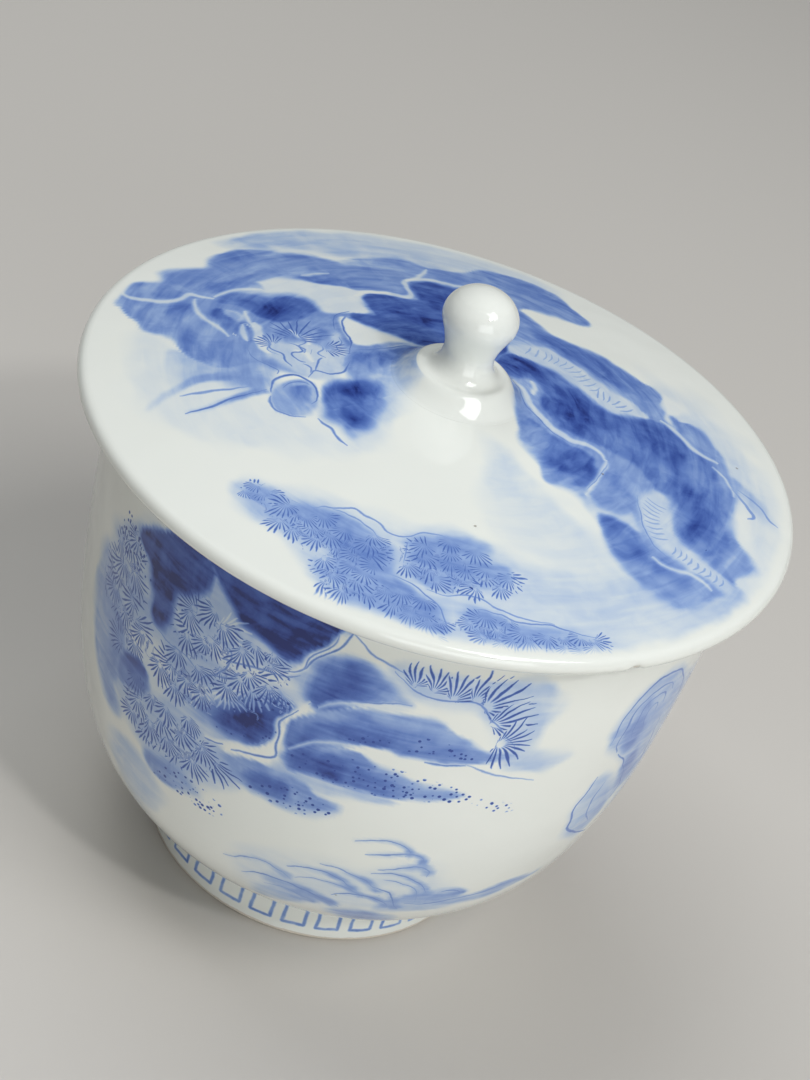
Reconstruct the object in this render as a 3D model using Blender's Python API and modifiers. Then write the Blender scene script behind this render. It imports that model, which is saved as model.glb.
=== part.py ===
"""A lidded porcelain tea bowl: bowl on a foot ring, domed lid with a locating ring and a ball knob.

Every piece is turned about the Z axis. The origin is the centre of the foot's resting circle, with +Z up.
Run with: blender --background --python part.py
"""

import math

import bpy
from mathutils import Vector

MM = 0.001

# Driving dimensions, in metres.
LID_RADIUS = 55.0 * MM
LID_EDGE_THICKNESS = 2.8 * MM
LID_THICKNESS = 3.0 * MM
LID_RISE = 6.4 * MM
BOWL_RADIUS = 49.2 * MM
BOWL_HEIGHT = 82.7 * MM
BOWL_LIP_THICKNESS = 2.4 * MM
BOWL_FLOOR = 12.6 * MM
FOOT_RADIUS = 28.8 * MM
FOOT_HEIGHT = 8.0 * MM
FOOT_WIDTH = 2.6 * MM
KNOB_COLLAR_RADIUS = 7.2 * MM
KNOB_BALL_RADIUS = 5.75 * MM
KNOB_BALL_HALF_HEIGHT = 4.6 * MM
KNOB_BALL_LEVEL = 10.6 * MM
LOCATING_RING_RADIUS = 45.2 * MM
LOCATING_RING_WIDTH = 2.4 * MM
LOCATING_RING_DEPTH = 5.0 * MM

# The slip seams between luted pieces, and the seat where the loose lid rests, are this wide.
SEAM = 0.3 * MM

# Points that the walls pass through, as (radius, height) in millimetres.
BOWL_OUTSIDE = [(48.1, 46.4), (46.1, 34.0), (43.0, 23.8), (38.2, 16.2), (30.6, 8.5)]
BOWL_INSIDE = [(20.0, 13.0), (32.0, 17.2), (39.4, 25.0), (43.2, 37.0), (45.7, 52.0)]
# The waist flares into a shallow dish. Heights here are measured from the underside of the collar.
KNOB_WAIST = [(4.55, 7.3), (3.9, 4.9), (4.3, 3.0), (5.3, 1.7), (6.2, 1.55)]

# Above this height the bowl's wall stands straight.
BOWL_STRAIGHT_FROM = 66.0 * MM

# The dome falls away from the knob slowly at first: 1 is a straight cone, 2 a parabola.
LID_DOME_POWER = 1.35
# Under the knob it swells into a small mound, which fades out over this distance.
LID_MOUND_HEIGHT = 1.1 * MM
LID_MOUND_WIDTH = 3.5 * MM
# Angle from the ball's top to where its underside meets the waist.
KNOB_BALL_SWEEP = 100.0
KNOB_COLLAR_EDGE = 0.55 * MM
KNOB_COLLAR_LEVEL = 1.3 * MM
# Outside the collar's rim a skirt runs down to a thin edge on the dome. Above 1, its slope hollows.
KNOB_SKIRT_RADIUS = 10.4 * MM
KNOB_SKIRT_EDGE = 0.25 * MM
KNOB_SKIRT_HOLLOW = 1.8
# Angle on the collar's rim where the skirt starts.
KNOB_SKIRT_START = 42.0

# The foot ring swells into the bowl's underside over this height, by this much.
FOOT_SHOULDER_HEIGHT = 1.6 * MM
FOOT_SHOULDER_FLARE = 0.8 * MM
FOOT_EDGE = 0.6 * MM
# The bowl's wall meets its flat underside here, just outside the foot.
BOWL_BASE_RADIUS = FOOT_RADIUS + 0.8 * MM

LOCATING_RING_EDGE = 0.7 * MM
LOCATING_RING_TAPER = 0.3 * MM
LID_RECESS_MARGIN = 0.8 * MM

BODY_STEPS = 64
KNOB_STEPS = 40
DOME_STEPS = 12
# Above 1, the dome's rings lie closer together near the knob.
DOME_SPACING = 1.5
RECESS_STEPS = 6
BALL_STEPS = 7
SKIRT_STEPS = 5
CURVE_STEPS = 2
ROUND_EDGE_POINTS = 4
LID_EDGE_POINTS = 9
LIP_POINTS = 7
SCREW_MERGE = 0.01 * MM

# Levels worked out from the driving dimensions.
LID_SEAT = BOWL_HEIGHT + SEAM
LID_EDGE_RADIUS = LID_EDGE_THICKNESS / 2
LID_TOP = LID_SEAT + LID_EDGE_THICKNESS + LID_RISE
KNOB_BASE = LID_TOP + SEAM

PORCELAIN = (0.80, 0.82, 0.80)
BARE_CLAY = (0.86, 0.84, 0.80)
GLAZE_ROUGHNESS = 0.12
FOOT_ROUGHNESS = 0.25


def clear_scene():
    """Leave nothing of the startup scene behind."""
    for obj in list(bpy.data.objects):
        bpy.data.objects.remove(obj, do_unlink=True)


def new_material(name, colour, roughness):
    """A plain non-metallic Principled material."""
    material = bpy.data.materials.new(name)
    material.use_nodes = True
    surface = material.node_tree.nodes["Principled BSDF"]
    surface.inputs["Base Color"].default_value = (*colour, 1.0)
    surface.inputs["Roughness"].default_value = roughness
    surface.inputs["Metallic"].default_value = 0.0
    return material


def in_metres(points, height=0.0):
    """Wall points given in millimetres, raised to a height."""
    return [(radius * MM, height + level * MM) for radius, level in points]


def arc(centre, radius, start, end, count):
    """Profile points on an arc, from one angle to another in degrees, both ends included."""
    points = []
    for i in range(count):
        angle = math.radians(start + (end - start) * i / (count - 1))
        points.append((centre[0] + radius * math.cos(angle), centre[1] + radius * math.sin(angle)))
    return points


def smooth_run(points, per_span):
    """A Catmull-Rom curve through the given profile points, ends included."""
    knots = [Vector(p) for p in points]
    knots = [2 * knots[0] - knots[1], *knots, 2 * knots[-1] - knots[-2]]
    run = []
    for a, b, c, d in zip(knots, knots[1:], knots[2:], knots[3:]):
        for i in range(per_span):
            t = i / per_span
            tangents = (c - a) * t + (2 * a - 5 * b + 4 * c - d) * t**2 + (3 * b - a - 3 * c + d) * t**3
            run.append(tuple(b + tangents / 2))
    run.append(tuple(knots[-2]))
    return run


def lid_dome(radius):
    """Height of the lid's upper surface at a distance from the axis."""
    inner, outer = KNOB_COLLAR_RADIUS, LID_RADIUS - LID_EDGE_RADIUS
    share = max(0.0, (radius - inner) / (outer - inner))
    mound_fall = 1 - math.exp(-max(0.0, radius - inner) / LID_MOUND_WIDTH)
    dome_fall = share**LID_DOME_POWER
    return LID_TOP - (LID_RISE - LID_MOUND_HEIGHT) * dome_fall - LID_MOUND_HEIGHT * mound_fall


def bowl_profile():
    """From the middle of the inner floor, out and up the inside, over the lip and down to the foot seat."""
    lip_radius = BOWL_LIP_THICKNESS / 2
    lip_level = BOWL_HEIGHT - lip_radius
    mouth = BOWL_RADIUS - BOWL_LIP_THICKNESS
    inside = [(0.0, BOWL_FLOOR), *in_metres(BOWL_INSIDE), (mouth, BOWL_STRAIGHT_FROM), (mouth, lip_level)]
    outside = [(BOWL_RADIUS, lip_level), (BOWL_RADIUS, BOWL_STRAIGHT_FROM), *in_metres(BOWL_OUTSIDE)]
    lip = arc((BOWL_RADIUS - lip_radius, lip_level), lip_radius, 180, 0, LIP_POINTS)
    base = [
        (BOWL_BASE_RADIUS, FOOT_HEIGHT),
        (FOOT_RADIUS - FOOT_WIDTH, FOOT_HEIGHT),
        (0.0, FOOT_HEIGHT),
    ]
    return smooth_run(inside, CURVE_STEPS) + lip[1:] + smooth_run(outside, CURVE_STEPS)[1:] + base


def foot_ring_profile():
    """A ring with a coved shoulder under the bowl, a straight wall and a rounded resting edge."""
    top = FOOT_HEIGHT - SEAM
    inner = FOOT_RADIUS - FOOT_WIDTH
    shoulder_bottom = top - FOOT_SHOULDER_HEIGHT
    return [
        (inner - FOOT_SHOULDER_FLARE, top),
        (FOOT_RADIUS + FOOT_SHOULDER_FLARE, top),
        (FOOT_RADIUS + FOOT_SHOULDER_FLARE / 4, top - FOOT_SHOULDER_HEIGHT / 3),
        (FOOT_RADIUS, shoulder_bottom),
        *arc((FOOT_RADIUS - FOOT_EDGE, FOOT_EDGE), FOOT_EDGE, 0, -90, ROUND_EDGE_POINTS),
        *arc((inner + FOOT_EDGE, FOOT_EDGE), FOOT_EDGE, -90, -180, ROUND_EDGE_POINTS),
        (inner, shoulder_bottom),
    ]


def lid_profile():
    """From the middle of the top, over the dome, round the edge, in along the seat and to the middle."""
    edge_centre = (LID_RADIUS - LID_EDGE_RADIUS, LID_SEAT + LID_EDGE_RADIUS)
    dome = [(0.0, LID_TOP)]
    for i in range(DOME_STEPS):
        share = (i / DOME_STEPS) ** DOME_SPACING
        radius = KNOB_COLLAR_RADIUS + (edge_centre[0] - KNOB_COLLAR_RADIUS) * share
        dome.append((radius, lid_dome(radius)))
    edge = arc(edge_centre, LID_EDGE_RADIUS, 90, -90, LID_EDGE_POINTS)
    recess_radius = LOCATING_RING_RADIUS - LOCATING_RING_WIDTH - LID_RECESS_MARGIN
    recess = [(recess_radius, LID_SEAT)]
    for i in range(1, RECESS_STEPS + 1):
        radius = recess_radius * (1 - i / RECESS_STEPS)
        recess.append((radius, lid_dome(radius) - LID_THICKNESS))
    return dome + edge + recess


def locating_ring_profile():
    """The plain ring under the lid that stands inside the bowl's mouth."""
    top, bottom = LID_SEAT - SEAM, LID_SEAT - LOCATING_RING_DEPTH
    inner = LOCATING_RING_RADIUS - LOCATING_RING_WIDTH
    edge, level = LOCATING_RING_EDGE, bottom + LOCATING_RING_EDGE
    outer_centre = LOCATING_RING_RADIUS - LOCATING_RING_TAPER - edge
    return [
        (inner, top),
        (LOCATING_RING_RADIUS, top),
        *arc((outer_centre, level), edge, 0, -90, ROUND_EDGE_POINTS),
        *arc((inner + edge, level), edge, -90, -180, ROUND_EDGE_POINTS),
    ]


def skirt_profile(start):
    """From the collar's rim down the hollow slope to its thin edge, and back in along the dome."""
    rise = start[1] - KNOB_BASE - KNOB_SKIRT_EDGE
    slope, underside = [], []
    for i in range(1, SKIRT_STEPS + 1):
        share = i / SKIRT_STEPS
        radius = start[0] + (KNOB_SKIRT_RADIUS - start[0]) * share
        seat = lid_dome(radius) + SEAM
        slope.append((radius, seat + KNOB_SKIRT_EDGE + rise * (1 - share) ** KNOB_SKIRT_HOLLOW))
        underside.append((radius, seat))
    return slope + underside[::-1]


def knob_profile():
    """An oblate ball on a waist that flares into a dished collar with a rounded rim and a low skirt."""
    ball_level = KNOB_BASE + KNOB_BALL_LEVEL
    ball = []
    for i in range(BALL_STEPS + 1):
        angle = math.radians(90 - KNOB_BALL_SWEEP * i / BALL_STEPS)
        level = ball_level + KNOB_BALL_HALF_HEIGHT * math.sin(angle)
        ball.append((KNOB_BALL_RADIUS * math.cos(angle), level))
    waist = smooth_run([ball[-1], *in_metres(KNOB_WAIST, KNOB_BASE)], CURVE_STEPS)
    collar_centre = (KNOB_COLLAR_RADIUS - KNOB_COLLAR_EDGE, KNOB_BASE + KNOB_COLLAR_LEVEL)
    collar = arc(collar_centre, KNOB_COLLAR_EDGE, 110, KNOB_SKIRT_START, ROUND_EDGE_POINTS)
    base = [(KNOB_COLLAR_RADIUS, KNOB_BASE), (0.0, KNOB_BASE)]
    return ball + waist[1:] + collar + skirt_profile(collar[-1]) + base


def turned(name, profile, steps, material, parent, collection):
    """A solid of revolution: the profile as a wire in the XZ plane, spun by a Screw modifier."""
    closes_on_axis = profile[0][0] < SCREW_MERGE and profile[-1][0] < SCREW_MERGE
    vertices = [(max(radius, 0.0), 0.0, height) for radius, height in profile]
    edges = [(i, i + 1) for i in range(len(vertices) - 1)]
    if not closes_on_axis:
        edges.append((len(vertices) - 1, 0))
    mesh = bpy.data.meshes.new(name)
    mesh.from_pydata(vertices, edges, [])
    obj = bpy.data.objects.new(name, mesh)
    collection.objects.link(obj)
    screw = obj.modifiers.new("Turning", "SCREW")
    screw.axis = "Z"
    screw.angle = 2 * math.pi
    screw.steps = steps
    screw.render_steps = steps
    screw.use_merge_vertices = True
    screw.merge_threshold = SCREW_MERGE
    screw.use_smooth_shade = True
    obj.data.materials.append(material)
    obj.parent = parent
    return obj


def new_pivot(name, height, collection):
    """An empty on the axis, for pieces that lift or turn together."""
    pivot = bpy.data.objects.new(name, None)
    pivot.location = (0.0, 0.0, height)
    collection.objects.link(pivot)
    return pivot


def lowered(profile, height):
    """The profile with its heights measured from a pivot."""
    return [(radius, level - height) for radius, level in profile]


def build():
    clear_scene()
    collection = bpy.data.collections.new("gaiwan")
    bpy.context.scene.collection.children.link(collection)
    painted_glaze = new_material("painted_glaze", PORCELAIN, GLAZE_ROUGHNESS)
    plain_glaze = new_material("plain_glaze", PORCELAIN, GLAZE_ROUGHNESS)
    foot_glaze = new_material("foot_glaze", BARE_CLAY, FOOT_ROUGHNESS)

    bowl_pivot = new_pivot("bowl_frame", 0.0, collection)
    lift_pivot = new_pivot("lid_lift_frame", LID_SEAT, collection)
    turn_pivot = new_pivot("lid_turn_frame", 0.0, collection)
    turn_pivot.parent = lift_pivot

    turned("bowl", bowl_profile(), BODY_STEPS, painted_glaze, bowl_pivot, collection)
    turned("foot_ring", foot_ring_profile(), BODY_STEPS, foot_glaze, bowl_pivot, collection)

    locating_ring = lowered(locating_ring_profile(), LID_SEAT)
    lid = lowered(lid_profile(), LID_SEAT)
    knob = lowered(knob_profile(), LID_SEAT)
    turned("locating_ring", locating_ring, BODY_STEPS, plain_glaze, lift_pivot, collection)
    turned("lid", lid, BODY_STEPS, painted_glaze, turn_pivot, collection)
    turned("knob", knob, KNOB_STEPS, plain_glaze, turn_pivot, collection)


build()
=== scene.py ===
import math

import bpy
import numpy as np
from mathutils import Matrix, Vector


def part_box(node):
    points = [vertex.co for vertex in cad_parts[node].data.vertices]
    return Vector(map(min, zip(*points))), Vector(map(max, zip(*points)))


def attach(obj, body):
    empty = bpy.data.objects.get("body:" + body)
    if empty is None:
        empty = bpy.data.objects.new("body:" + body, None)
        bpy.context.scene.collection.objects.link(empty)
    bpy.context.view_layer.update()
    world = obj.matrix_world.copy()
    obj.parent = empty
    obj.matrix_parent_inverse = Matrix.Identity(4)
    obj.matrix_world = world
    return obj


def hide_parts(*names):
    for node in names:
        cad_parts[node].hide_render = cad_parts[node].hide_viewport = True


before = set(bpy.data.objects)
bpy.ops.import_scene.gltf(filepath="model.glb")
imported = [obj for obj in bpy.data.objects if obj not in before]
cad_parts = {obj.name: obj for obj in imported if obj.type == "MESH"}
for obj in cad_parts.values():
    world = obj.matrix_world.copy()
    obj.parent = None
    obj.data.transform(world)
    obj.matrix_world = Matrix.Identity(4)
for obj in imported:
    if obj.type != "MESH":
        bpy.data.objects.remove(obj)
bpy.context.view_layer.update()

# The looks of a porcelain covered tea bowl. Each CAD node gets a finer surface, turned from that node's own
# outline, with cobalt brushwork under a clear glaze. Shapes and brushwork are worked out in mm.

MM = 0.001
SEED = 20

# ------------------------------------------------------------ measures read from the frame, in mm


def box_mm(node):
    """A CAD node's lowest and highest corners in mm."""
    low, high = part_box(node)
    return [c / MM for c in low], [c / MM for c in high]


LID_RADIUS = box_mm("lid")[1][0]
LID_SEAT = box_mm("lid")[0][2]
BOWL_RADIUS = box_mm("bowl")[1][0]
BOWL_HEIGHT = box_mm("bowl")[1][2]
BOWL_BASE = box_mm("bowl")[0][2]
FOOT_RADIUS = box_mm("foot_ring")[1][0]
FOOT_TOP = box_mm("foot_ring")[1][2]
SKIRT_RADIUS = box_mm("knob")[1][0]

# Millimetres of bowl wall that one degree of turn covers.
DEGREE = math.radians(1) * BOWL_RADIUS


# ------------------------------------------------------------ turned shapes

# An outline that turns by more than this has a sharp corner there.
SHARP_TURN = math.radians(48)
# Points nearer to the axis than this are on it.
ON_AXIS = 1e-3


def profile_of(node):
    """The outline of a turned CAD node on its +X side, as (radius, height) in mm, and whether it is closed.

    An outline that meets the axis is open, and starts at its higher end.
    """
    flat = 1e-6
    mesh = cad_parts[node].data
    places = {}
    for vertex in mesh.vertices:
        if abs(vertex.co.y) < flat and vertex.co.x > -flat:
            places[vertex.index] = (vertex.co.x / MM, vertex.co.z / MM)
    links = {}
    for edge in mesh.edges:
        a, b = edge.vertices
        if a in places and b in places:
            links.setdefault(places[a], set()).add(places[b])
            links.setdefault(places[b], set()).add(places[a])
    ends = [place for place, others in links.items() if len(others) == 1]
    run, last = [max(ends or links, key=lambda place: place[1])], None
    while True:
        following = [place for place in links[run[-1]] if place != last]
        if not following or following[0] == run[0]:
            return np.array(run), not ends
        last = run[-1]
        run.append(following[0])


def direction_at(before, after, own):
    """The outline's direction where two steps meet: a blend of both, or its own step's at a sharp corner."""
    u, v = before / np.linalg.norm(before), after / np.linalg.norm(after)
    turn = math.acos(max(-1.0, min(1.0, float(u @ v))))
    heading = own if turn > SHARP_TURN else before + after
    return heading / np.linalg.norm(heading)


def smooth_profile(node, spacing):
    """A turned CAD node's outline as smooth cubic pieces through its points, sampled at this spacing."""
    points, closed = profile_of(node)
    count = len(points)
    spans = count if closed else count - 1
    steps = [points[(i + 1) % count] - points[i] for i in range(spans)]
    out = []
    for i, step in enumerate(steps):
        length = float(np.linalg.norm(step))
        before = steps[i - 1] if closed or i > 0 else step
        after = steps[(i + 1) % spans] if closed or i + 1 < spans else step
        leaving = length * direction_at(before, step, step)
        arriving = length * direction_at(step, after, step)
        pieces = max(1, round(length / spacing))
        for k in range(pieces):
            t = k / pieces
            weights = (2 * t**3 - 3 * t**2 + 1, t**3 - 2 * t**2 + t, -2 * t**3 + 3 * t**2, t**3 - t**2)
            guides = (points[i], leaving, points[(i + 1) % count], arriving)
            out.append(sum(weight * guide for weight, guide in zip(weights, guides)))
    if not closed:
        out.append(points[-1])
    return np.array(out)


def softened(profile, chosen, passes):
    """Rounds off the chosen part of a profile, as a thick glaze does."""
    for _ in range(passes):
        blend = profile.copy()
        blend[1:-1] = (profile[:-2] + 2 * profile[1:-1] + profile[2:]) / 4
        profile = np.where(chosen[:, None], blend, profile)
    return profile


def thinned(profile, hidden, keep_every=3):
    """Drops most of a profile's points where they are hidden from the painter."""
    last = len(profile) - 1
    kept = [i for i in range(last + 1) if not hidden[i] or i % keep_every == 0 or i == last]
    return profile[kept]


def turned_points(profile, segments):
    """The profile carried round the axis: one ring of points for each profile point, in mm."""
    angles = np.linspace(0, 2 * math.pi, segments, endpoint=False)
    x = profile[:, :1] * np.sin(angles)[None]
    y = -profile[:, :1] * np.cos(angles)[None]
    z = np.repeat(profile[:, 1:], segments, axis=1)
    return np.stack([x, y, z], axis=-1).reshape(-1, 3)


def turned_faces(rings, segments, closed):
    """Quads between neighbouring rings of a turned shape."""
    columns = np.arange(segments)
    following = (columns + 1) % segments
    faces = []
    for i in range(rings if closed else rings - 1):
        a, b = i * segments, ((i + 1) % rings) * segments
        faces += np.stack([a + columns, b + columns, b + following, a + following], axis=1).tolist()
    return faces


def end_fans(rings, segments):
    """Triangles that close the first and last rings on the two axis points that follow the rings."""
    columns = np.arange(segments)
    following = (columns + 1) % segments
    start, last = rings * segments, (rings - 1) * segments
    first_end, last_end = np.full(segments, start), np.full(segments, start + 1)
    fans = np.stack([first_end, columns, following], axis=1).tolist()
    return fans + np.stack([last + columns, last_end, last + following], axis=1).tolist()


def turned_piece(name, profile, segments, closed=False, bend=None):
    """A smooth turned solid and its points in mm. An open profile starts and ends on the axis."""
    rings = profile if closed else profile[profile[:, 0] > ON_AXIS]
    points = turned_points(rings, segments)
    faces = turned_faces(len(rings), segments, closed)
    if not closed:
        ends = [[0, 0, profile[0, 1]], [0, 0, profile[-1, 1]]]
        points = np.concatenate([points, ends])
        faces += end_fans(len(rings), segments)
    if bend:
        points = bend(points)
    mesh = bpy.data.meshes.new(name)
    mesh.from_pydata((points * MM).tolist(), [], faces)
    mesh.validate()
    mesh.shade_smooth()
    obj = bpy.data.objects.new(name, mesh)
    bpy.context.scene.collection.objects.link(obj)
    return obj, points


# ------------------------------------------------------------ brushwork: what a brush laid down, in mm

# Beyond this distance, in mm, an outline no longer matters.
FAR = 6.0
# Foliage hangs from twigs along its upper side, so no needles point between these bearings.
TWIG_SIDE = (35, 140)
# How far past its needles, in mm, a fan is written, so that they end inside it.
FAN_MARGIN = 1.2
# Overlapping marks of one kind go on separate layers.
INK_LAYERS = 4
RESERVE_LAYERS = 2
FAN_LAYERS = 6


def drift(points, size, seed):
    """Slow smooth noise through space, about -1 to 1, with features about this many mm across."""
    chance = np.random.default_rng(SEED + seed)
    total = np.zeros(len(points))
    for _ in range(7):
        heading = chance.normal(size=3)
        heading *= 2 * math.pi / (size * chance.uniform(0.8, 1.6) * np.linalg.norm(heading))
        total += np.sin(points @ heading + chance.uniform(0, 2 * math.pi))
    return total / 3


def smooth_step(value, low, high):
    """0 below low, 1 above high, and a smooth rise between."""
    share = np.clip((value - low) / (high - low), 0, 1)
    return share * share * (3 - 2 * share)


def curve_through(points, closed=False, spacing=0.6):
    """A Catmull-Rom curve through given points, sampled at about this spacing."""
    knots = [np.array(p, float) for p in points]
    if closed:
        knots = [knots[-1], *knots, knots[0], knots[1]]
    else:
        knots = [2 * knots[0] - knots[1], *knots, 2 * knots[-1] - knots[-2]]
    run = []
    for a, b, c, d in zip(knots, knots[1:], knots[2:], knots[3:]):
        pieces = max(1, round(float(np.linalg.norm(c - b)) / spacing))
        for k in range(pieces):
            t = k / pieces
            slope, bend, twist = c - a, 2 * a - 5 * b + 4 * c - d, 3 * b - a - 3 * c + d
            run.append(b + (slope * t + bend * t**2 + twist * t**3) / 2)
    if not closed:
        run.append(knots[-2])
    return np.array(run)


def nearest_on(chain, spots):
    """For each spot: signed distance to the chain (positive on its left) and how far along it, 0 to 1."""
    starts, steps = chain[:-1], np.diff(chain, axis=0)
    lengths = np.maximum(np.linalg.norm(steps, axis=1), 1e-9)
    along_start = np.concatenate([[0], np.cumsum(lengths)])
    best = np.full(len(spots), np.inf)
    signed = np.zeros(len(spots))
    along = np.zeros(len(spots))
    for i, step in enumerate(steps):
        offset = spots - starts[i]
        t = np.clip(offset @ step / lengths[i] ** 2, 0, 1)
        gap = offset - t[:, None] * step
        distance = np.hypot(gap[:, 0], gap[:, 1])
        side = np.sign(step[0] * gap[:, 1] - step[1] * gap[:, 0] + 1e-12)
        closer = distance < best
        best = np.where(closer, distance, best)
        signed = np.where(closer, distance * side, signed)
        along = np.where(closer, (along_start[i] + t * lengths[i]) / along_start[-1], along)
    return signed, along


def inside(outline, spots):
    """Whether each spot lies inside a closed outline."""
    found = np.zeros(len(spots), bool)
    x, y = spots[:, 0], spots[:, 1]
    for (x0, y0), (x1, y1) in zip(outline, np.roll(outline, -1, axis=0)):
        crosses = (y0 > y) != (y1 > y)
        reach = (x1 - x0) * (y - y0) / (y1 - y0 if y1 != y0 else 1e-9) + x0
        found ^= crosses & (x < reach)
    return found


def outward_from(chain):
    """Unit vectors pointing out of a closed chain, one at each of its points."""
    ahead = np.roll(chain, -1, axis=0) - np.roll(chain, 1, axis=0)
    next_x, next_y = np.roll(chain, -1, axis=0).T
    turning = np.sum(chain[:, 0] * next_y - chain[:, 1] * next_x)
    outward = np.stack([ahead[:, 1], -ahead[:, 0]], axis=1) * np.sign(turning)
    return outward / np.maximum(np.linalg.norm(outward, axis=1), 1e-9)[:, None]


def roomiest(layers, chosen, column):
    """The layer with the fewest of the chosen points already taken, which is where this column is above 0."""
    return min(layers, key=lambda layer: int(np.sum(layer[chosen, column] > 0)))


class Painting:
    """Everything the brush laid on one surface, worked out at that surface's points.

    Washes are soft, so their density is kept as one number. Lines, needles and dots are finer than the mesh,
    so what is kept for them is distances, which the glaze material turns into sharp marks.
    """

    def __init__(self, points, spots, painted, wrap=None):
        self.spots = spots
        self.painted = painted
        self.wrap = wrap
        # An unsteady hand: how far, in mm, each mark strays from its place.
        self.wander = 0.32 * np.stack([drift(points, 5.5, 1), drift(points, 5.5, 2)], axis=1)
        self.wander += 0.09 * np.stack([drift(points, 2.0, 3), drift(points, 2.0, 4)], axis=1)
        self.wetness = np.clip(1.1 + 0.7 * drift(points, 7.0, 5), 0.45, 2.4)
        self.density = np.zeros(len(spots))
        self.dots = np.full(len(spots), -FAR)
        self.ink = self.empty_layers(INK_LAYERS, -1.0)
        self.reserve = self.empty_layers(RESERVE_LAYERS, -1.0)
        self.fans = self.empty_layers(FAN_LAYERS, 0.0)
        self.white_fans = self.empty_layers(1, 0.0)

    def empty_layers(self, count, second):
        """Layers of three numbers for each point, with no mark anywhere, so the second has this value."""
        blank = np.zeros((len(self.spots), 3))
        blank[:, 1] = second
        return [blank.copy() for _ in range(count)]

    def near(self, centre, reach):
        """The painted points within a box round a centre, and their places as the unsteady hand sees them."""
        across = self.spots[:, 0] - centre[0]
        if self.wrap:
            across = (across + self.wrap / 2) % self.wrap - self.wrap / 2
        picked = np.abs(across) < reach[0]
        picked &= np.abs(self.spots[:, 1] - centre[1]) < reach[1]
        picked &= self.painted
        chosen = np.nonzero(picked)[0]
        places = np.stack([across[chosen] + centre[0], self.spots[chosen, 1]], axis=1)
        return chosen, places + self.wander[chosen]

    def around(self, points, margin):
        """The painted points near a set of outline points."""
        low, high = points.min(axis=0) - margin, points.max(axis=0) + margin
        return self.near((low + high) / 2, (high - low) / 2)

    def outline_distance(self, outline):
        """Chosen points, their places, and their signed distance to a closed outline, positive inside."""
        chain = curve_through(outline, closed=True)
        chosen, places = self.around(chain, FAR)
        distance = np.abs(nearest_on(np.concatenate([chain, chain[:1]]), places)[0])
        return chosen, places, np.where(inside(chain, places), distance, -distance)

    def wash(self, tone, edge, lean, outline):
        """Cobalt of one tone in an outline with a soft edge; a negative tone lifts colour off instead.

        Lean is (bearing, fade): the colour is full on the side the bearing points to and fades from there.
        """
        chosen, places, depth = self.outline_distance(outline)
        wet_edge = edge * self.wetness[chosen]
        cover = smooth_step(depth, -wet_edge, wet_edge)
        if tone < 0:
            self.density[chosen] *= 1 + tone * cover
            return
        if lean:
            bearing, fade = lean
            heading = np.array([math.cos(math.radians(bearing)), math.sin(math.radians(bearing))])
            toward, reached = places @ heading, np.array(outline) @ heading
            share = np.clip((toward - reached.min()) / np.ptp(reached), 0, 1)
            tone = tone * (1 - fade * (1 - share) ** 1.3)
        self.lay(chosen, tone, cover)

    def lay(self, chosen, tone, cover):
        """Darkens the chosen points towards a tone wherever they are paler than it."""
        under = self.density[chosen]
        self.density[chosen] = under + np.maximum(tone - under, 0) * cover

    def brush(self, tone, start, end, points, edge=0.5):
        """One soft brush stroke laid into the washes: its width and colour go from its start to its end."""
        chain = curve_through(points)
        chosen, places = self.around(chain, max(start, end) / 2 + edge)
        signed, along = nearest_on(chain, places)
        half = (start + (end - start) * along) / 2
        cover = smooth_step(half - np.abs(signed), -edge, edge)
        cover *= smooth_step(np.minimum(along, 1 - along), 0, 0.08)
        self.lay(chosen, tone * (0.35 + 0.65 * smooth_step(along, 0, 0.8)), cover)

    def dotting(self, outline):
        """An area dabbed with small moss dots."""
        chosen, _, depth = self.outline_distance(outline)
        self.dots[chosen] = np.maximum(self.dots[chosen], np.clip(depth, -FAR, FAR))

    def stroke(self, layers, strength, width, points, taper=0.3):
        """One brush line, thinning at both ends: distance across it, half its width, and its strength."""
        chain = curve_through(points)
        reach = width / 2 + 0.9
        chosen, places = self.around(chain, reach)
        signed, along = nearest_on(chain, places)
        close = np.abs(signed) < reach
        chosen, signed, along = chosen[close], signed[close], along[close]
        ends = np.minimum(along, 1 - along)
        thinning = np.clip(ends / taper, 0, 1) ** 0.6
        half = np.where(ends <= 0, -1.0, width / 2 * (0.25 + 0.75 * thinning))
        layer = roomiest(layers, chosen, 1)
        across, half_there = np.abs(layer[chosen, 0]), layer[chosen, 1]
        rows = (np.abs(signed) - half < across - half_there) | (half_there <= 0)
        layer[chosen[rows]] = np.stack([signed, half, np.full(len(half), strength)], axis=1)[rows]

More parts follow.
